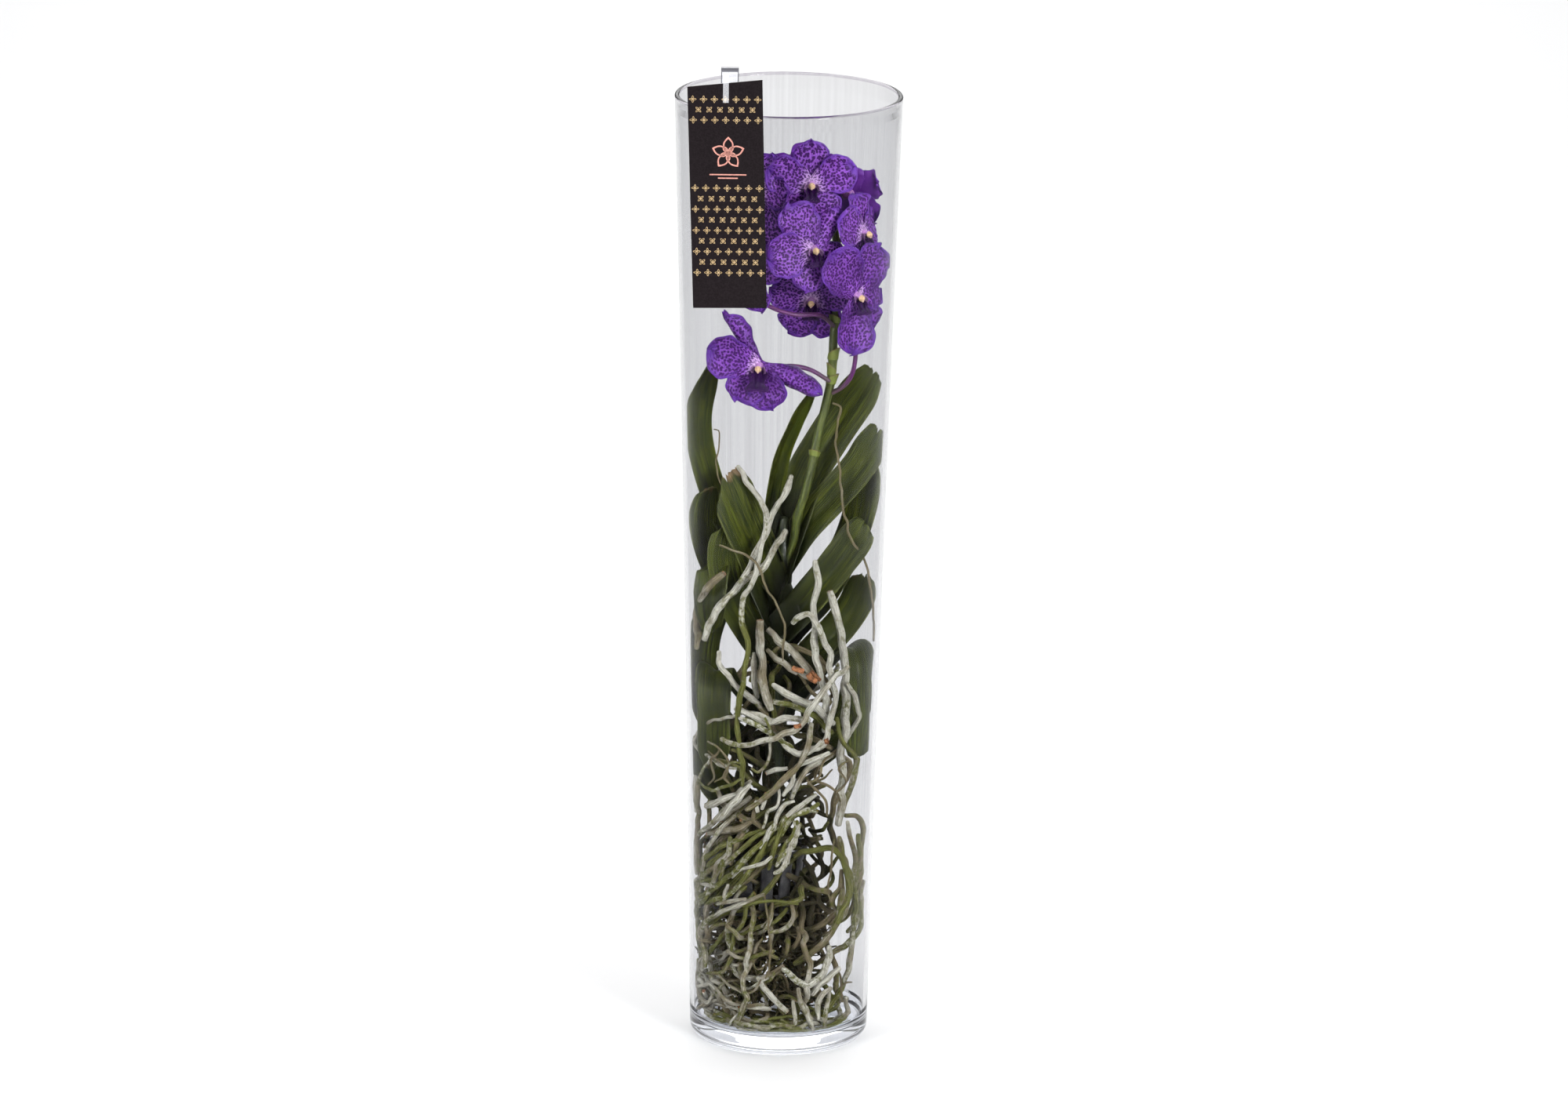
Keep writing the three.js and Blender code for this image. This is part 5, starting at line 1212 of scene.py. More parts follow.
# Other roots that show: diameter, moss, ends, brown, route.
FRONT_ROOTS = [
    (4.3, 0.0, "TT", 0, [[-20.5, -28, 293.5], [-19.5, -29, 277], [-18, -30, 262]]),
    (4.0, 0.0, "TB", 0, [[-10, -26, 295], [3, -27, 286], [11, -28, 280.5]]),
    (4.0, 0.0, "BT", 0, [[12, -28, 280], [18, -29, 277.7], [29, -30, 273]]),
    (4.0, 0.0, "TT", 0, [[-46, -38, 297], [-44, -40, 288.6], [-36.5, -43, 279.5], [-27.5, -43, 269.5],
      [-22, -37, 261], [-15, -33, 257]]),
    (4.5, 0.0, "TT", 0, [[-28.5, -40, 255], [-24, -43, 252.7], [-14, -46, 251.5], [-7.5, -46, 248.7],
      [5.5, -47, 252], [19, -47, 250]]),
    (3.8, 0.7, "TT", 0, [[-27, -45, 249], [-18.5, -50, 246.5], [-7.5, -52, 241], [3.5, -53, 234.3],
      [12.5, -54, 227.7]]),
    (3.5, 0.1, "TT", 0, [[47, -42, 276], [52.5, -36, 262.6], [54.5, -30, 251], [52.5, -28, 242.5],
      [48, -26, 232]]),
    (4.5, 0.2, "TT", 0, [[35, -44, 222.5], [26, -48, 218.6], [17, -50, 213], [11.5, -51, 205.4],
      [6, -50, 192.4]]),
    (1.7, 0.0, "TT", 0.5, [[-47.5, -44, 378], [-28.5, -48, 373], [-22, -49, 368], [-15.5, -50, 355],
      [-9, -50, 343], [-1, -51, 330], [2, -51, 317.5], [0.5, -51, 304.5], [0.5, -51, 294]]),
    (4.2, 0.5, "TT", 0, [[59.5, 6, 107], [60, 4, 90], [57, 0, 77], [48.5, -6, 70], [38.5, -14, 65],
      [27, -24, 59]]),
    (4.0, 0.9, "TT", 0, [[-51, -26, 91.6], [-35, -36, 102.5], [-17.5, -42, 110], [-8.5, -44, 122],
      [0.5, -44, 134]]),
    (5.0, -0.3, "BT", 0.14, [[-52, -28, 156], [-35, -42, 167], [-22, -48, 173.8]]),
    (4.6, -0.2, "BT", 0.12, [[-43, -34, 172.5], [-32, -40, 183], [-22, -42, 191.5]]),
    (3.0, 0.2, "TT", 0, [[-54, -18, 177], [-33, -34, 188.5]]),
    (4.4, 0.2, "TB", 0, [[-26.5, -46, 165], [-32, -46, 153], [-36, -44, 141.6]]),
    (4.0, 0.0, "BT", 0, [[-56, -22, 327], [-51, -22, 320]]),
    (1.8, 0.0, "TT", 0.45, [[33.5, -12, 474.6], [38, -12, 472.6], [36, -12, 453.7], [37, -12, 440.7],
      [40, -12, 425.8], [41.5, -12, 408.9], [43.5, -12, 395.9], [50, -12, 375], [56.5, -12, 363],
      [62, -10, 350.5], [65, -9, 323.4], [64.5, -9, 300.4]]),
    (1.1, 0.0, "TT", 0.7, [[-50.5, -8, 456], [-47.5, -8, 455], [-47.5, -8, 446], [-48, -8, 440],
      [-50.5, -9, 431], [-48.5, -12, 423], [-44.5, -15, 416], [-41, -15.5, 411]]),
    (2.4, 0.1, "TT", 0.15, [[-28, -46, 253], [-42, -40, 249], [-50.5, -32, 243], [-58.5, -18, 232],
      [-62, -10, 222], [-60, -14, 219], [-49, -36, 219], [-43.5, -42, 214], [-33, -46, 213]]),
    (3.5, 0.2, "TT", 0.2, [[47.5, -38, 172.5], [51, -32, 155], [54.5, -24, 138], [53, -22, 125]]),
    (4.5, 0.1, "TB", 0, [[-14.5, -50, 56.5], [-8.5, -52, 47], [6.5, -54, 30.7]]),
    (3.8, 0.1, "TT", 0, [[-26, -48, 34.7], [-6, -52, 34]]),
    (3.5, 0.1, "TT", 0, [[18.5, -48, 40], [22, -52, 29], [28, -54, 17]]),
    (3.5, 0.2, "TT", 0.05, [[36, -42, 43], [34.5, -50, 17.5]]),
    (3.6, 0.2, "TT", 0, [[11, -50, 38.4], [11, -54, 23.7]]),
    (5.5, 0.1, "TB", 0, [[-26.5, -44, 64.5], [-26, -46, 54]]),
    (3.6, 0.4, "TT", 0, [[-56, -8, 48.5], [-56, -10, 33], [-52.5, -16, 22], [-44, -26, 18]]),
    (4.2, 0.9, "TT", 0, [[-46, -22, 24], [-30, -40, 19], [-14, -49, 17.5], [4, -52, 17.5], [20, -50, 18]]),
    (4.0, 0.8, "TT", 0, [[2, -52, 24], [14, -53, 19], [26, -48, 18], [42, -36, 19], [52, -18, 22]]),
    (4.6, 0.3, "TB", 0.1, [[-40, -34, 20], [-24, -46, 17.8], [-8, -52, 17.8]]),
    (5.2, 0.0, "BB", 1, [[18, -53, 287.5], [21, -54, 284], [25, -54, 281]]),
    (3.6, 0.0, "BB", 1, [[22, -52, 288], [25.5, -53, 284], [27, -54, 279]]),
    (4.4, 0.0, "BB", 1, [[7, -55, 291.5], [11, -56, 290], [15, -56, 289]]),
    (4.2, 0.0, "BB", 1, [[9, -58, 248], [14, -58, 249]]),
    (4.2, 0.0, "BB", 1, [[29, -54, 238.5], [31, -54, 235]]),
]
front = []
for k, (diameter, moss, ends, brown, route) in enumerate(FRONT_ROOTS):
    front.append(root_shape(diameter, moss, ends, route, 500 + k, brown))
make_piece("front_roots", front, [ROOT])


# More roots by the glass: diameter, moss, tone, depth in front of the axis, ends, and the route as pairs
# of x and the height at which it is seen, from the front and above, against the plane through the axis.
SIGHT_FALL = 0.3066
SEEN_ROOTS = [
    (5.0, 0.35, 0.6, 36, "TT", [45, 108, 44, 94, 41, 83, 35, 73, 27, 64, 18, 56, 12, 52]),
    (4.2, 0.35, 0.8, 30, "TT", [46, 96, 42, 93, 31, 84, 20, 79, 8, 75, -4, 72]),
    (4.5, 0.3, 0.9, 22, "TT", [25, 101, 22, 88, 21, 77, 17, 72, 10, 65, 3, 63]),
    (4.2, 0.2, 0.9, 14, "TT", [26, 97, 24, 80, 20, 70, 15, 58, 10, 54]),
    (4.0, 0.2, 0.9, 10, "TT", [8, 95, 15, 86, 18, 76, 14, 68]),
    (4.4, 0.25, 0.8, 24, "TT", [17, 131, 24, 121, 27, 108, 28, 99, 33, 95, 41, 94, 45, 104, 45, 116]),
    (3.4, 0.1, 1.2, 26, "TT", [7, 95, 17, 96.5, 26, 98.5]),
    (5.0, 0.1, 0.0, 50, "TT", [36, 64, 37, 55, 33, 45, 26, 39, 20, 36, 11, 42, 4, 48]),
    (4.8, 0.1, 0.1, 46, "TT", [43, 49, 36, 43, 28, 35, 25, 30]),
    (1.8, 0.0, 1.2, 44, "TT", [43, 50, 46, 38, 45, 24]),
    (1.4, 0.0, 1.2, 44, "TT", [46, 35, 49, 39, 53, 40]),
    (2.8, 0.1, 1.1, 30, "TT", [24, 50, 34, 57, 43, 62]),
    (1.7, 0.1, 1.0, 56, "TT", [-10, 104, -8, 80, -6, 67, -7, 50, -11, 41]),
    (1.8, 0.0, 0.7, 58, "TT", [-11, 41, -17, 31, -26, 29, -36, 35, -43, 43]),
    (3.0, 0.5, 0.6, 40, "TT", [-59, 54, -60, 37, -57, 27, -51, 22, -47, 28]),
    (4.0, 0.2, 0.5, 30, "TT", [-50, 86, -57, 78, -56, 69, -53, 59, -53, 50]),
    (3.5, 0.3, 0.3, 52, "TT", [-57, 72, -52, 84, -40, 91, -25, 97, -13, 103]),
    (3.3, 0.0, 0.5, 54, "TT", [-45, 95, -35, 99, -24, 100]),
    (2.4, 1.0, 0.3, 57, "TT", [-27, 95, -15, 98, -4, 99.5, 6, 98, 13, 98]),
    (3.2, 0.9, 0.5, 46, "TT", [-24, 100, -27, 82, -33, 73, -34, 62]),
    (3.2, 0.8, 0.5, 44, "TT", [-30, 73, -11, 81, -2, 86, 6, 94]),
    (3.6, 0.3, 0.5, 47, "TT", [7, 99, 9, 88, 2, 78, -6, 75]),
    (4.2, 0.1, 0.25, 46, "TT", [-63, 122, -61, 144, -52, 155, -43, 165, -30, 180, -22, 189]),
    (4.8, -0.3, 0.05, 50, "BT", [-46, 160, -38, 166, -30, 176, -23, 186]),
    (4.8, -0.2, 0.1, 48, "BT", [-53, 170, -44, 174, -31, 177]),
    (3.8, 0.0, 0.1, 50, "BB", [-11, 194, -2, 198, 6, 199]),
    (3.8, 0.0, 0.0, 54, "BT", [5, 163, 15, 171.5, 26, 180]),
    (4.0, 0.1, 0.0, 55, "TB", [-15, 140, -8, 150, -3, 157]),
    (3.0, 0.1, 0.1, 55, "TT", [10, 160, 12, 151, 7, 143, 5, 128]),
    (4.2, 0.75, 0.1, 52, "TB", [1, 149, 5, 158, 10, 164, 20, 168, 26, 167]),
    (2.6, 0.1, 0.1, 55, "TT", [-14, 155, -9, 165, -3, 171, -1, 176, -2, 182]),
    (3.4, 0.0, 0.1, 53, "BT", [-16, 167, -18, 175]),
    (3.4, 0.0, 0.1, 54, "TB", [-13, 169, -9, 180]),
    (3.4, 0.0, 0.1, 54, "TB", [-4, 156, -1, 167, 3, 172, 10, 173]),
    (4.5, 0.3, 0.7, 34, "TT", [54, 208, 50, 188, 45, 172, 43, 158]),
    (4.0, 0.9, 0.5, 46, "TT", [-57, 125, -42, 141, -28, 146, -14, 152]),
    (3.6, 0.6, 0.4, 52, "TT", [-42, 115, -42, 124, -36, 131, -30, 138, -24, 142, -14, 150, 0, 156]),
    (3.6, 0.9, 0.5, 48, "TT", [-30, 126, -19, 137, -11, 146]),
    (3.2, 0.8, 0.6, 46, "TT", [-22, 124, -15, 133, -9, 142]),
    (3.6, 0.8, 0.3, 53, "TT", [-8, 124, -3, 140, -1, 148, 3, 157]),
    (3.4, 0.7, 0.3, 54, "TT", [-3, 126, 4, 139, 9, 149, 12, 160]),
    (1.8, 0.1, 1.0, 50, "TT", [-44, 213, -49, 203, -48, 191, -52, 186]),
    (1.7, 0.1, 1.0, 52, "TT", [-53, 212, -47, 205, -40, 199, -39, 196, -47, 189]),
    (1.6, 0.7, 0.4, 52, "TT", [-40, 200, -34, 203, -27, 201]),
    (2.4, 0.8, 0.1, 54, "TT", [-58, 189, -51, 184, -40, 185, -29, 190]),
    (2.2, 0.6, 0.3, 40, "TT", [-62, 176, -59, 192, -50, 206]),
    (1.8, 0.0, 1.0, 50, "TT", [37, 210, 30, 204, 26, 192, 19, 188]),
    (1.9, 0.0, 1.0, 52, "TT", [19, 190, 27, 181, 32, 175, 34, 164]),
    (4.2, 0.85, 0.7, 42, "TT", [10, 133, 15, 136, 26, 138, 36, 140, 43, 134, 48, 122, 50, 108, 46, 96, 42, 84]),
    (3.4, 0.2, 0.8, 20, "TT", [18, 144, 27, 136, 31, 127, 29, 119, 22, 114]),
    (3.0, 0.1, 1.0, 8, "TT", [15, 118, 22, 115, 26, 108]),
    (3.0, 0.7, 0.9, 16, "TT", [41, 134, 34, 123, 27, 116]),
    (1.6, 0.0, 1.0, 48, "TT", [38, 147, 37, 130, 34, 111, 37, 100]),
    (3.4, 0.1, 1.2, 20, "TT", [15, 108, 23, 103, 28, 96]),
    (4.0, 0.3, 0.8, 32, "TT", [44, 124, 43, 111, 38, 101, 41, 95]),
    (4.2, 0.5, 0.6, 20, "TT", [59, 150, 56, 125, 54, 110, 49, 100, 45, 90, 36, 83]),
    (3.6, 0.5, 0.5, 10, "TT", [60, 116, 58, 101, 56, 86, 50, 77]),
    (3.6, 0.9, 0.5, 44, "TT", [-40, 144, -49, 137, -55, 129, -55, 120, -50, 113]),
    (4.2, 0.8, 0.5, 42, "TT", [-36, 138, -46, 131, -55, 125]),
    (4.4, 0.2, 0.3, 50, "TT", [-36, 146, -38, 135, -46, 124, -46, 114]),
    (4.2, 0.95, 0.1, 54, "TT", [-14, 143, -21, 135, -30, 124, -42, 113, -52, 106, -61, 97]),
    (3.8, 1.0, 0.1, 55, "TT", [-9, 143, -15, 133, -22, 123, -28, 114, -34, 105, -42, 99]),
    (2.8, 0.3, 0.2, 57, "TT", [-6, 133, -16, 126, -26, 123, -33, 117]),
    (3.8, 0.2, 0.2, 56, "TT", [8, 143, 4, 130, 0, 123, -4, 121]),
    (4.0, 0.6, 0.2, 54, "TT", [11, 142, 5, 137, 1, 131, -3, 126]),
    (3.4, 0.9, 0.4, 48, "TT", [-62, 99, -49, 99.5, -38, 103]),
    (3.0, 0.0, 0.2, 40, "TT", [-56, 120, -62, 111, -60, 103]),
    (3.4, 0.0, 0.4, 44, "TT", [-60, 108, -54, 113, -46, 110]),
    (3.4, 0.1, 0.3, 52, "TT", [-37, 110, -39, 101]),
    (3.2, 0.4, 0.8, 30, "TT", [-20, 92, -30, 84, -44, 80, -57, 68]),
    (3.0, 0.6, 0.8, 42, "TT", [-20, 66, -32, 58, -40, 46, -52, 44]),
    (3.4, 0.5, 0.7, 48, "TT", [-36, 62, -24, 54, -16, 58, -4, 62]),
    (2.8, 0.2, 0.8, 50, "TT", [-46, 34, -38, 24, -24, 20, -10, 22]),
    (3.6, 0.3, 0.5, 52, "TT", [15, 34, 16, 24, 22, 13]),
    (4.4, 0.2, 0.4, 46, "TT", [38, 34, 31, 26, 29, 12]),
    (3.4, 0.3, 0.5, 34, "TT", [48, 26, 50, 16, 42, 10]),
    (4.2, 0.3, 0.1, 52, "TB", [-29, 237, -13, 229, 2, 218, 14, 211, 24, 214, 30, 220]),
    (4.0, 0.0, 0.0, 48, "TT", [-33, 243, -20, 238, -11, 233, 2, 237, 15, 235]),
    (2.2, 0.6, 0.6, 55, "TT", [-12, 237, -8, 226, -9, 212, -10, 204, -17, 196, -21, 199]),
    (3.6, 0.0, 0.0, 55, "TT", [33, 211, 22, 204, 11, 199, 8, 188, 2, 179]),
    (5.0, 0.0, 0.0, 42, "TT", [-7, 261, 6, 253, 20, 248, 30, 241, 37, 235]),
    (4.6, 0.85, 0.3, 38, "BT", [-8, 251, 9, 246, 20, 241, 28, 236, 36, 226]),
    (3.5, 0.6, 0.6, 40, "TT", [40, 237, 44, 221, 52, 210, 54, 204]),
    (4.5, 0.1, 0.2, 16, "TT", [-63, 194, -65, 182, -63, 168]),
    (3.8, 0.85, 0.2, 52, "TT", [25, 173, 17, 166, 4, 163, -2, 151, -9, 142]),
    (3.4, 0.3, 0.2, 54, "TT", [13, 157, 9, 146, 2, 133, 4, 126]),
    (3.0, 0.1, 0.9, 50, "TT", [-17, 175, -20, 160, -15, 155]),
    (4.2, 0.1, 0.6, 34, "TT", [-36, 262, -22, 252, -12, 240, -4, 226]),
    (4.4, 0.2, 0.8, 30, "TT", [-6, 232, 8, 226, 22, 222, 36, 214]),
    (3.8, 0.3, 0.9, 26, "TT", [34, 250, 26, 236, 20, 222, 10, 208, 6, 196]),
    (3.6, 0.4, 0.9, 34, "TT", [-34, 214, -22, 208, -12, 200, 0, 190, 6, 178]),
    (4.2, 0.2, 0.9, 28, "TT", [42, 214, 30, 206, 22, 194, 10, 186, -2, 176]),
    (3.6, 0.7, 0.7, 36, "TT", [-44, 206, -32, 200, -20, 188, -8, 184]),
    (2.0, 0.2, 1.1, 44, "TT", [18, 208, 26, 202, 24, 192, 33, 187, 40, 180, 38, 170]),
    (1.8, 0.1, 1.2, 46, "TT", [48, 206, 42, 199, 47, 190, 40, 184, 44, 174]),
    (1.6, 0.1, 1.1, 40, "TT", [14, 196, 22, 190, 30, 192, 37, 198]),
    (1.8, 0.3, 0.9, 50, "TT", [-52, 220, -44, 212, -38, 203, -42, 193, -36, 186]),
]


def seen_point(x, height, depth):
    """The point at a depth in front of the axis, or at the glass, that is seen at x and a height."""
    limit = float(outer_radius(height)) - WALL - 3.2
    depth = min(depth, math.sqrt(max(0.0, limit**2 - x * x)))
    return [x, -depth, height + SIGHT_FALL * depth]


def seen_roots():
    """The roots of the table above, as one piece."""
    made = []
    for k, (diameter, moss, tone, depth, ends, flat) in enumerate(SEEN_ROOTS):
        route = [seen_point(x, h, depth) for x, h in zip(flat[::2], flat[1::2])]
        made.append(root_shape(diameter, moss, ends, route, 700 + k, tone=tone, sway=0.6))
    make_piece("glass_side_roots", made, [ROOT])


seen_roots()


def random_route(rng, start, heading, length, turn, pull, low, high, region, step):
    """A wandering line that keeps to a layer between two heights and to a region round a centre.

    Turn is how far its direction changes at each step, pull is what draws it upwards (down if negative),
    and the region is the centre's x and y and the reach.
    """
    p = np.array(start, float)
    d = unit(heading)
    line = [p.copy()]
    centre, reach = np.array(region[:2], float), region[2]
    for _ in range(max(3, int(length / step))):
        d = unit(d + rng.normal(0, turn, 3) + np.array([0, 0, pull]))
        if p[2] < low + 4:
            d = unit(d + np.array([0, 0, 0.5]))
        if p[2] > high:
            d = unit(d - np.array([0, 0, 0.5]))
        off = p[:2] - centre
        if np.hypot(*off) > reach:
            d = unit(d - np.array([*(off / np.hypot(*off)), 0]) * 0.8)
        p = p + d * step
        p = keep_inside(p[None, :], 3.2)[0]
        line.append(p.copy())
    return line


def strand_layer(name, count, seed, maker):
    """A piece of random strands. The maker draws diameter, moss, brown, ends and route of one."""
    rng = np.random.default_rng(seed)
    shapes = []
    for k in range(count):
        diameter, moss, brown, ends, route = maker(rng)
        sides, step = (10, 2.6) if diameter > 2.4 else (7, 3.2)
        shapes.append(root_shape(diameter, moss, ends, route, seed * 1000 + k, brown, step=step, sides=sides))
    make_piece(name, shapes, [ROOT])


def choose_ends(rng, share):
    """Two ends, of which the given share is broken off."""
    return "".join("B" if rng.uniform() < share else "T" for _ in range(2))


def disc_point(rng, reach, inner, low, high):
    """A point between two heights on a disc; inner is the share of its area that is left out in the middle."""
    angle = rng.uniform(0, 2 * math.pi)
    radius = reach * math.sqrt(rng.uniform(inner, 1))
    return [radius * math.cos(angle) - 12, radius * math.sin(angle), rng.uniform(low, high)]


def diagonal_strand(rng):
    """The mossy strands that run down to the left over the basket's front."""
    x = rng.uniform(-28, 22)
    z = rng.uniform(128, 196)
    y = -rng.uniform(16, 44)
    run = rng.uniform(30, 62)
    fall = run * rng.uniform(0.5, 1.4)
    bow = rng.uniform(-7, 7)
    route = [
        [x, y, z],
        [x - run * 0.35, y - 3, z - fall * 0.3 + bow],
        [x - run * 0.7, y + 3, z - fall * 0.72 + bow],
        [x - run, y + rng.uniform(4, 18), z - fall],
    ]
    height = z - fall / 2
    moss = 0.75 * ease(height, 200, 130) + rng.uniform(-0.25, 0.35) if height > 80 else 0.6
    return rng.uniform(3.2, 5.0), float(np.clip(moss, 0, 1.1)), 0.0, choose_ends(rng, 0.25), route


def middle_strand(rng):
    """Strands at all sides between the leaves' feet and the basket's floor."""
    angle = rng.uniform(0, 2 * math.pi)
    radius = rng.uniform(22, 52)
    start = [radius * math.cos(angle) - 6, radius * math.sin(angle), rng.uniform(95, 195)]
    heading = [rng.normal(-0.4, 0.8), rng.normal(0, 0.8), rng.normal(-0.5, 0.5)]
    route = random_route(rng, start, heading, rng.uniform(50, 130), 0.28, -0.04, 80, 205, (-10, 0, 46), 9)
    return rng.uniform(2.6, 4.6), rng.uniform(0.15, 0.95), 0.0, choose_ends(rng, 0.3), route


def low_strand(rng):
    """The tangle of thinner roots that stands on the glass floor."""
    start = disc_point(rng, 50, 0.05, 22, 96)
    heading = rng.normal(0, 1, 3) * [1, 1, 0.6]
    route = random_route(rng, start, heading, rng.uniform(40, 120), 0.42, -0.03, 18, 98, (-14, 0, 44), 7)
    return rng.uniform(1.6, 3.6), rng.uniform(-0.1, 0.5), rng.uniform(0, 0.12), choose_ends(rng, 0.2), route


def thin_strand(rng):
    """The crooked rootlets between them."""
    start = disc_point(rng, 54, 0.1, 18, 90)
    heading = rng.normal(0, 1, 3)
    route = random_route(rng, start, heading, rng.uniform(20, 60), 0.75, 0.0, 17, 95, (-16, 0, 42), 4.5)
    return rng.uniform(0.9, 1.7), rng.uniform(0, 0.4), rng.uniform(0.15, 0.6), "TT", route


def floor_strand(rng):
    """Roots that lie round the floor near the glass."""
    start = rng.uniform(0, 360)
    sweep = rng.uniform(50, 150) * rng.choice([-1, 1])
    radius = rng.uniform(26, 55)
    route = []
    for t in np.linspace(0, 1, 7):
        a = math.radians(start + sweep * t)
        r = radius + rng.uniform(-5, 5)
        route.append([r * math.cos(a) - 2, r * math.sin(a), 17 + rng.uniform(0, 9)])
    return rng.uniform(2.2, 4.2), rng.uniform(0.3, 1.0), 0.05, choose_ends(rng, 0.3), route


def upper_strand(rng):
    """A few roots behind and between the leaves."""
    angle = rng.uniform(0, math.pi)
    start = [30 * math.cos(angle), 10 + 26 * math.sin(angle), rng.uniform(190, 330)]
    heading = [rng.normal(0, 0.6), 0.3, -1]
    route = random_route(rng, start, heading, rng.uniform(60, 130), 0.25, -0.1, 120, 330, (0, 12, 50), 10)
    return rng.uniform(2.8, 4.8), rng.uniform(0, 0.4), 0.0, choose_ends(rng, 0.3), route


def stem_strand(rng):
    """Shaded roots that leave the stem all round between the leaves' feet."""
    angle = rng.uniform(0, 2 * math.pi)
    out = np.array([math.cos(angle), math.sin(angle)])
    z = rng.uniform(165, 285)
    start = [-4 + 9 * out[0], 9 + 9 * out[1], z]
    heading = [out[0], out[1], rng.uniform(-0.7, 0.15)]
    route = random_route(rng, start, heading, rng.uniform(35, 80), 0.25, -0.12, 110, 290, (-4, 6, 38), 8)
    return rng.uniform(2.8, 4.6), rng.uniform(0.1, 0.9), 0.4, "TT", route


strand_layer("diagonal_roots", 34, 11, diagonal_strand)
strand_layer("middle_roots", 46, 12, middle_strand)
strand_layer("low_roots", 120, 13, low_strand)
strand_layer("thin_roots", 130, 14, thin_strand)
strand_layer("floor_roots", 22, 15, floor_strand)
strand_layer("upper_roots", 12, 17, upper_strand)
strand_layer("stem_roots", 40, 18, stem_strand)


# ---------------------------------------------------------------- floor, light and camera (in metres)
FLOOR_HALF = 13  # so wide that its edge makes no horizon in the side views
FLOOR_CENTRE = (0, 1.8, -0.0002)


def add_floor():
    pale = Surface("floor_pale", Base_Color=(0.76, 0.76, 0.76), Roughness=0.9, Specular_IOR_Level=0.1)
    mesh = bpy.data.meshes.new("floor")
    corners = [(x * FLOOR_HALF, y * FLOOR_HALF, 0) for x, y in ((-1, -1), (1, -1), (1, 1), (-1, 1))]
    mesh.from_pydata(corners, [], [(0, 1, 2, 3)])
    mesh.materials.append(pale.material)
    made = bpy.data.objects.new("floor", mesh)
    made.location = FLOOR_CENTRE
    bpy.context.scene.collection.objects.link(made)
    made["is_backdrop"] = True


add_floor()

# For an axis of the view direction: where the tent's ramp starts and ends, and the strength at both.
TENT = {"Y": (-0.95, 0.25, 0.03, 0.2), "Z": (0.05, 0.7, 0.0, 0.35)}
BEHIND_GLASS = 0.5


def add_world():
    """A light tent: bright at the sides, behind and overhead, dim where the camera stands.

    It is brighter to rays that come through the glass and haven't met a matt surface, so that the glass
    doesn't darken the white behind it.
    """
    world = bpy.data.worlds.new("studio")
    bpy.context.scene.world = world
    world.use_nodes = True
    nodes, links = world.node_tree.nodes, world.node_tree.links
    place = nodes.new("ShaderNodeTexCoord")
    parts = nodes.new("ShaderNodeSeparateXYZ")
    both = nodes.new("ShaderNodeMath")
    links.new(place.outputs["Generated"], parts.inputs[0])
    for k, (axis, limits) in enumerate(TENT.items()):
        ramp = nodes.new("ShaderNodeMapRange")
        ramp.interpolation_type = "SMOOTHSTEP"
        for socket, value in zip(ramp.inputs[1:5], limits):
            socket.default_value = value
        links.new(parts.outputs[axis], ramp.inputs["Value"])
        links.new(ramp.outputs[0], both.inputs[k])
    ray = nodes.new("ShaderNodeLightPath")
    direct = nodes.new("ShaderNodeMath")
    direct.operation = "SUBTRACT"
    direct.use_clamp = True
    links.new(ray.outputs["Is Transmission Ray"], direct.inputs[0])
    links.new(ray.outputs["Diffuse Depth"], direct.inputs[1])
    tent = nodes.new("ShaderNodeMath")
    tent.operation = "MULTIPLY_ADD"
    tent.inputs[1].default_value = BEHIND_GLASS
    links.new(direct.outputs[0], tent.inputs[0])
    links.new(both.outputs[0], tent.inputs[2])
    background = nodes["Background"]
    background.inputs["Color"].default_value = (0.98, 0.985, 1.0, 1)
    links.new(tent.outputs[0], background.inputs["Strength"])


add_world()


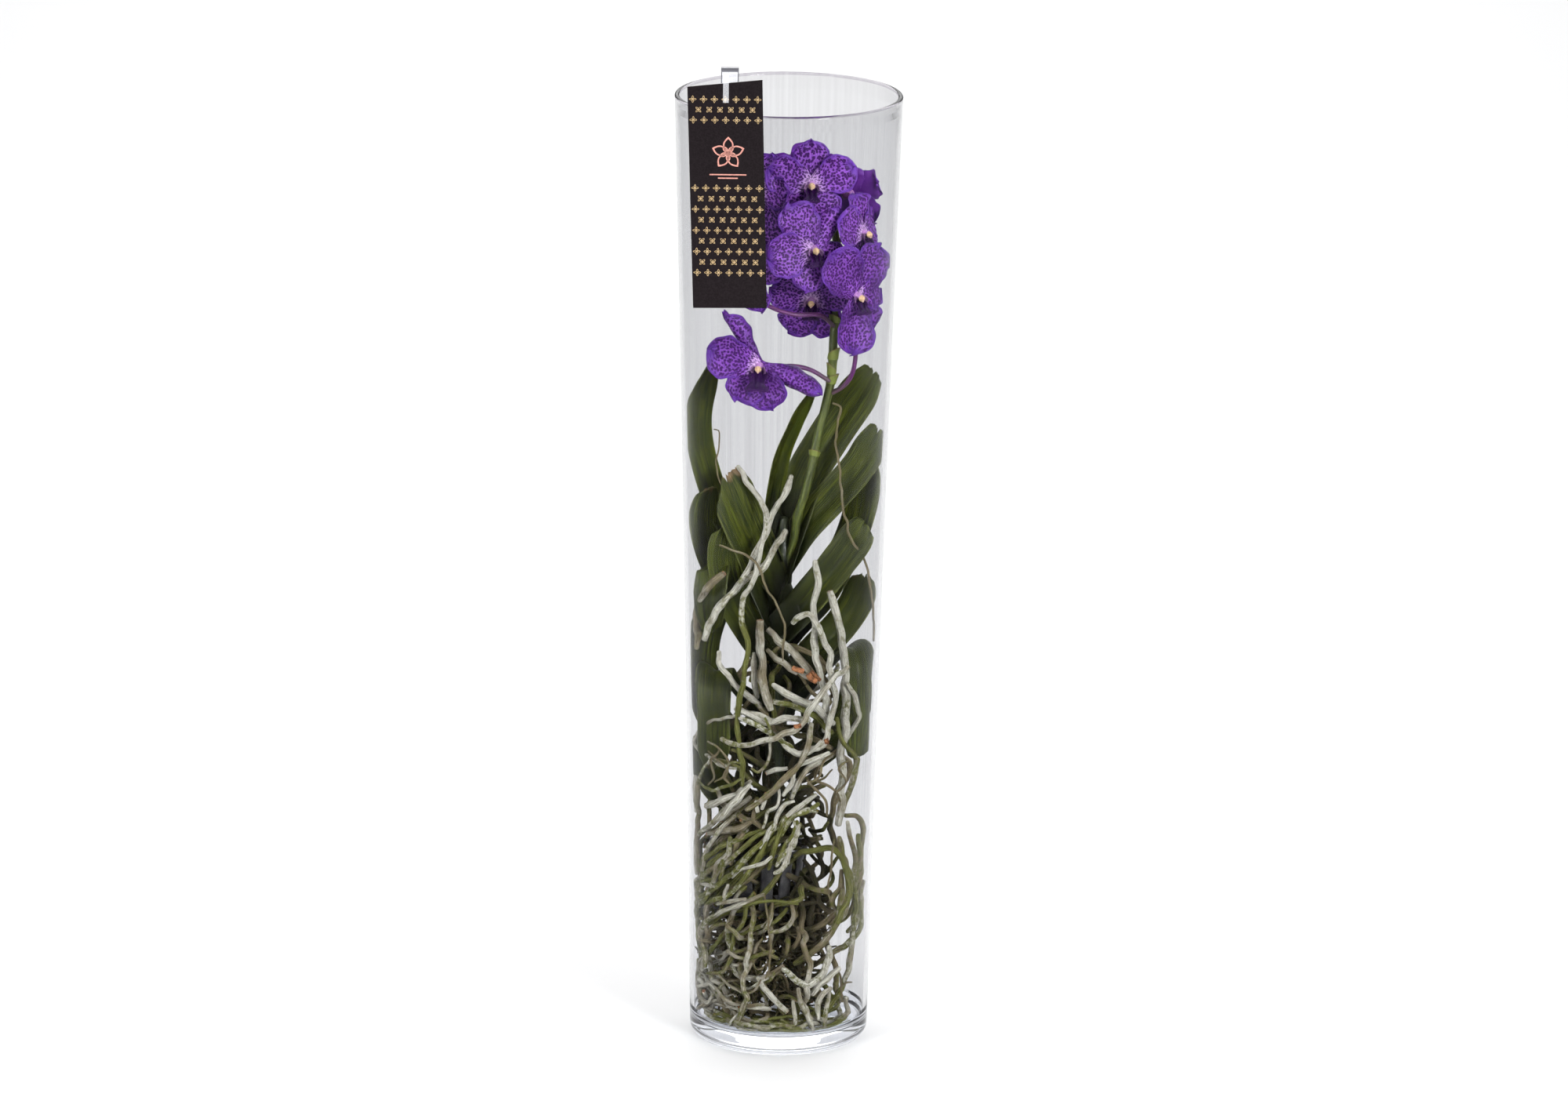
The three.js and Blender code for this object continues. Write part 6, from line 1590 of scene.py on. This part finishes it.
def add_light(name, place, target, width, height, power, spread=180):
    """A rectangular lamp that looks at a target."""
    data = bpy.data.lights.new(name, "AREA")
    data.shape = "RECTANGLE"
    data.size, data.size_y, data.energy = width, height, power
    data.spread = math.radians(spread)
    made = bpy.data.objects.new(name, data)
    bpy.context.scene.collection.objects.link(made)
    place, target = np.array(place, float), np.array(target, float)
    back = unit(place - target)
    side = unit(np.cross([0, 0, 1], back)) if abs(back[2]) < 0.999 else np.array([1.0, 0, 0])
    up = np.cross(back, side)
    made.matrix_world = Matrix([[side[k], up[k], back[k], place[k]] for k in range(3)] + [[0, 0, 0, 1]])


add_light("softbox_back", (0, 3.3, 1.5), (0, 3.3, 0), 3.0, 6.2, 86)
add_light("softbox_top", (0, -0.2, 1.9), (0, 0.0, 0.3), 1.0, 1.0, 2.4, 90)
add_light("softbox_right", (1.4, -2.0, 1.1), (0, 0, 0.36), 0.7, 1.0, 8.0, 60)
add_light("softbox_left", (-1.6, -1.8, 1.1), (0, 0, 0.36), 0.7, 1.0, 5.0, 60)

# The camera's place and target in millimetres, its roll in radians, and the lens that the photograph asks for.
CAMERA = np.array([0.25, -7000, 2146.1])
TARGET = np.array([0.25, 0, 361.1])
ROLL = 0.0116
SENSOR = 36.0
LENS = 229.58


def add_camera():
    forward = unit(TARGET - CAMERA)
    level = unit(np.cross(forward, [0, 0, 1]))
    upright = np.cross(level, forward)
    c, s = math.cos(ROLL), math.sin(ROLL)
    right = level * c + upright * s
    up = upright * c - level * s
    data = bpy.data.cameras.new("camera")
    data.sensor_width, data.lens = SENSOR, LENS
    data.clip_start, data.clip_end = 0.1, 100
    made = bpy.data.objects.new("camera", data)
    bpy.context.scene.collection.objects.link(made)
    rows = [[right[k], up[k], -forward[k], CAMERA[k] * MM] for k in range(3)] + [[0, 0, 0, 1]]
    made.matrix_world = Matrix(rows)
    bpy.context.scene.camera = made


add_camera()
bpy.context.scene.view_settings.view_transform = "Standard"

bpy.context.view_layer.update()
low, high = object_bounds()
{"cad": [list(cad_low), list(cad_high)], "scene": [list(low), list(high)]}
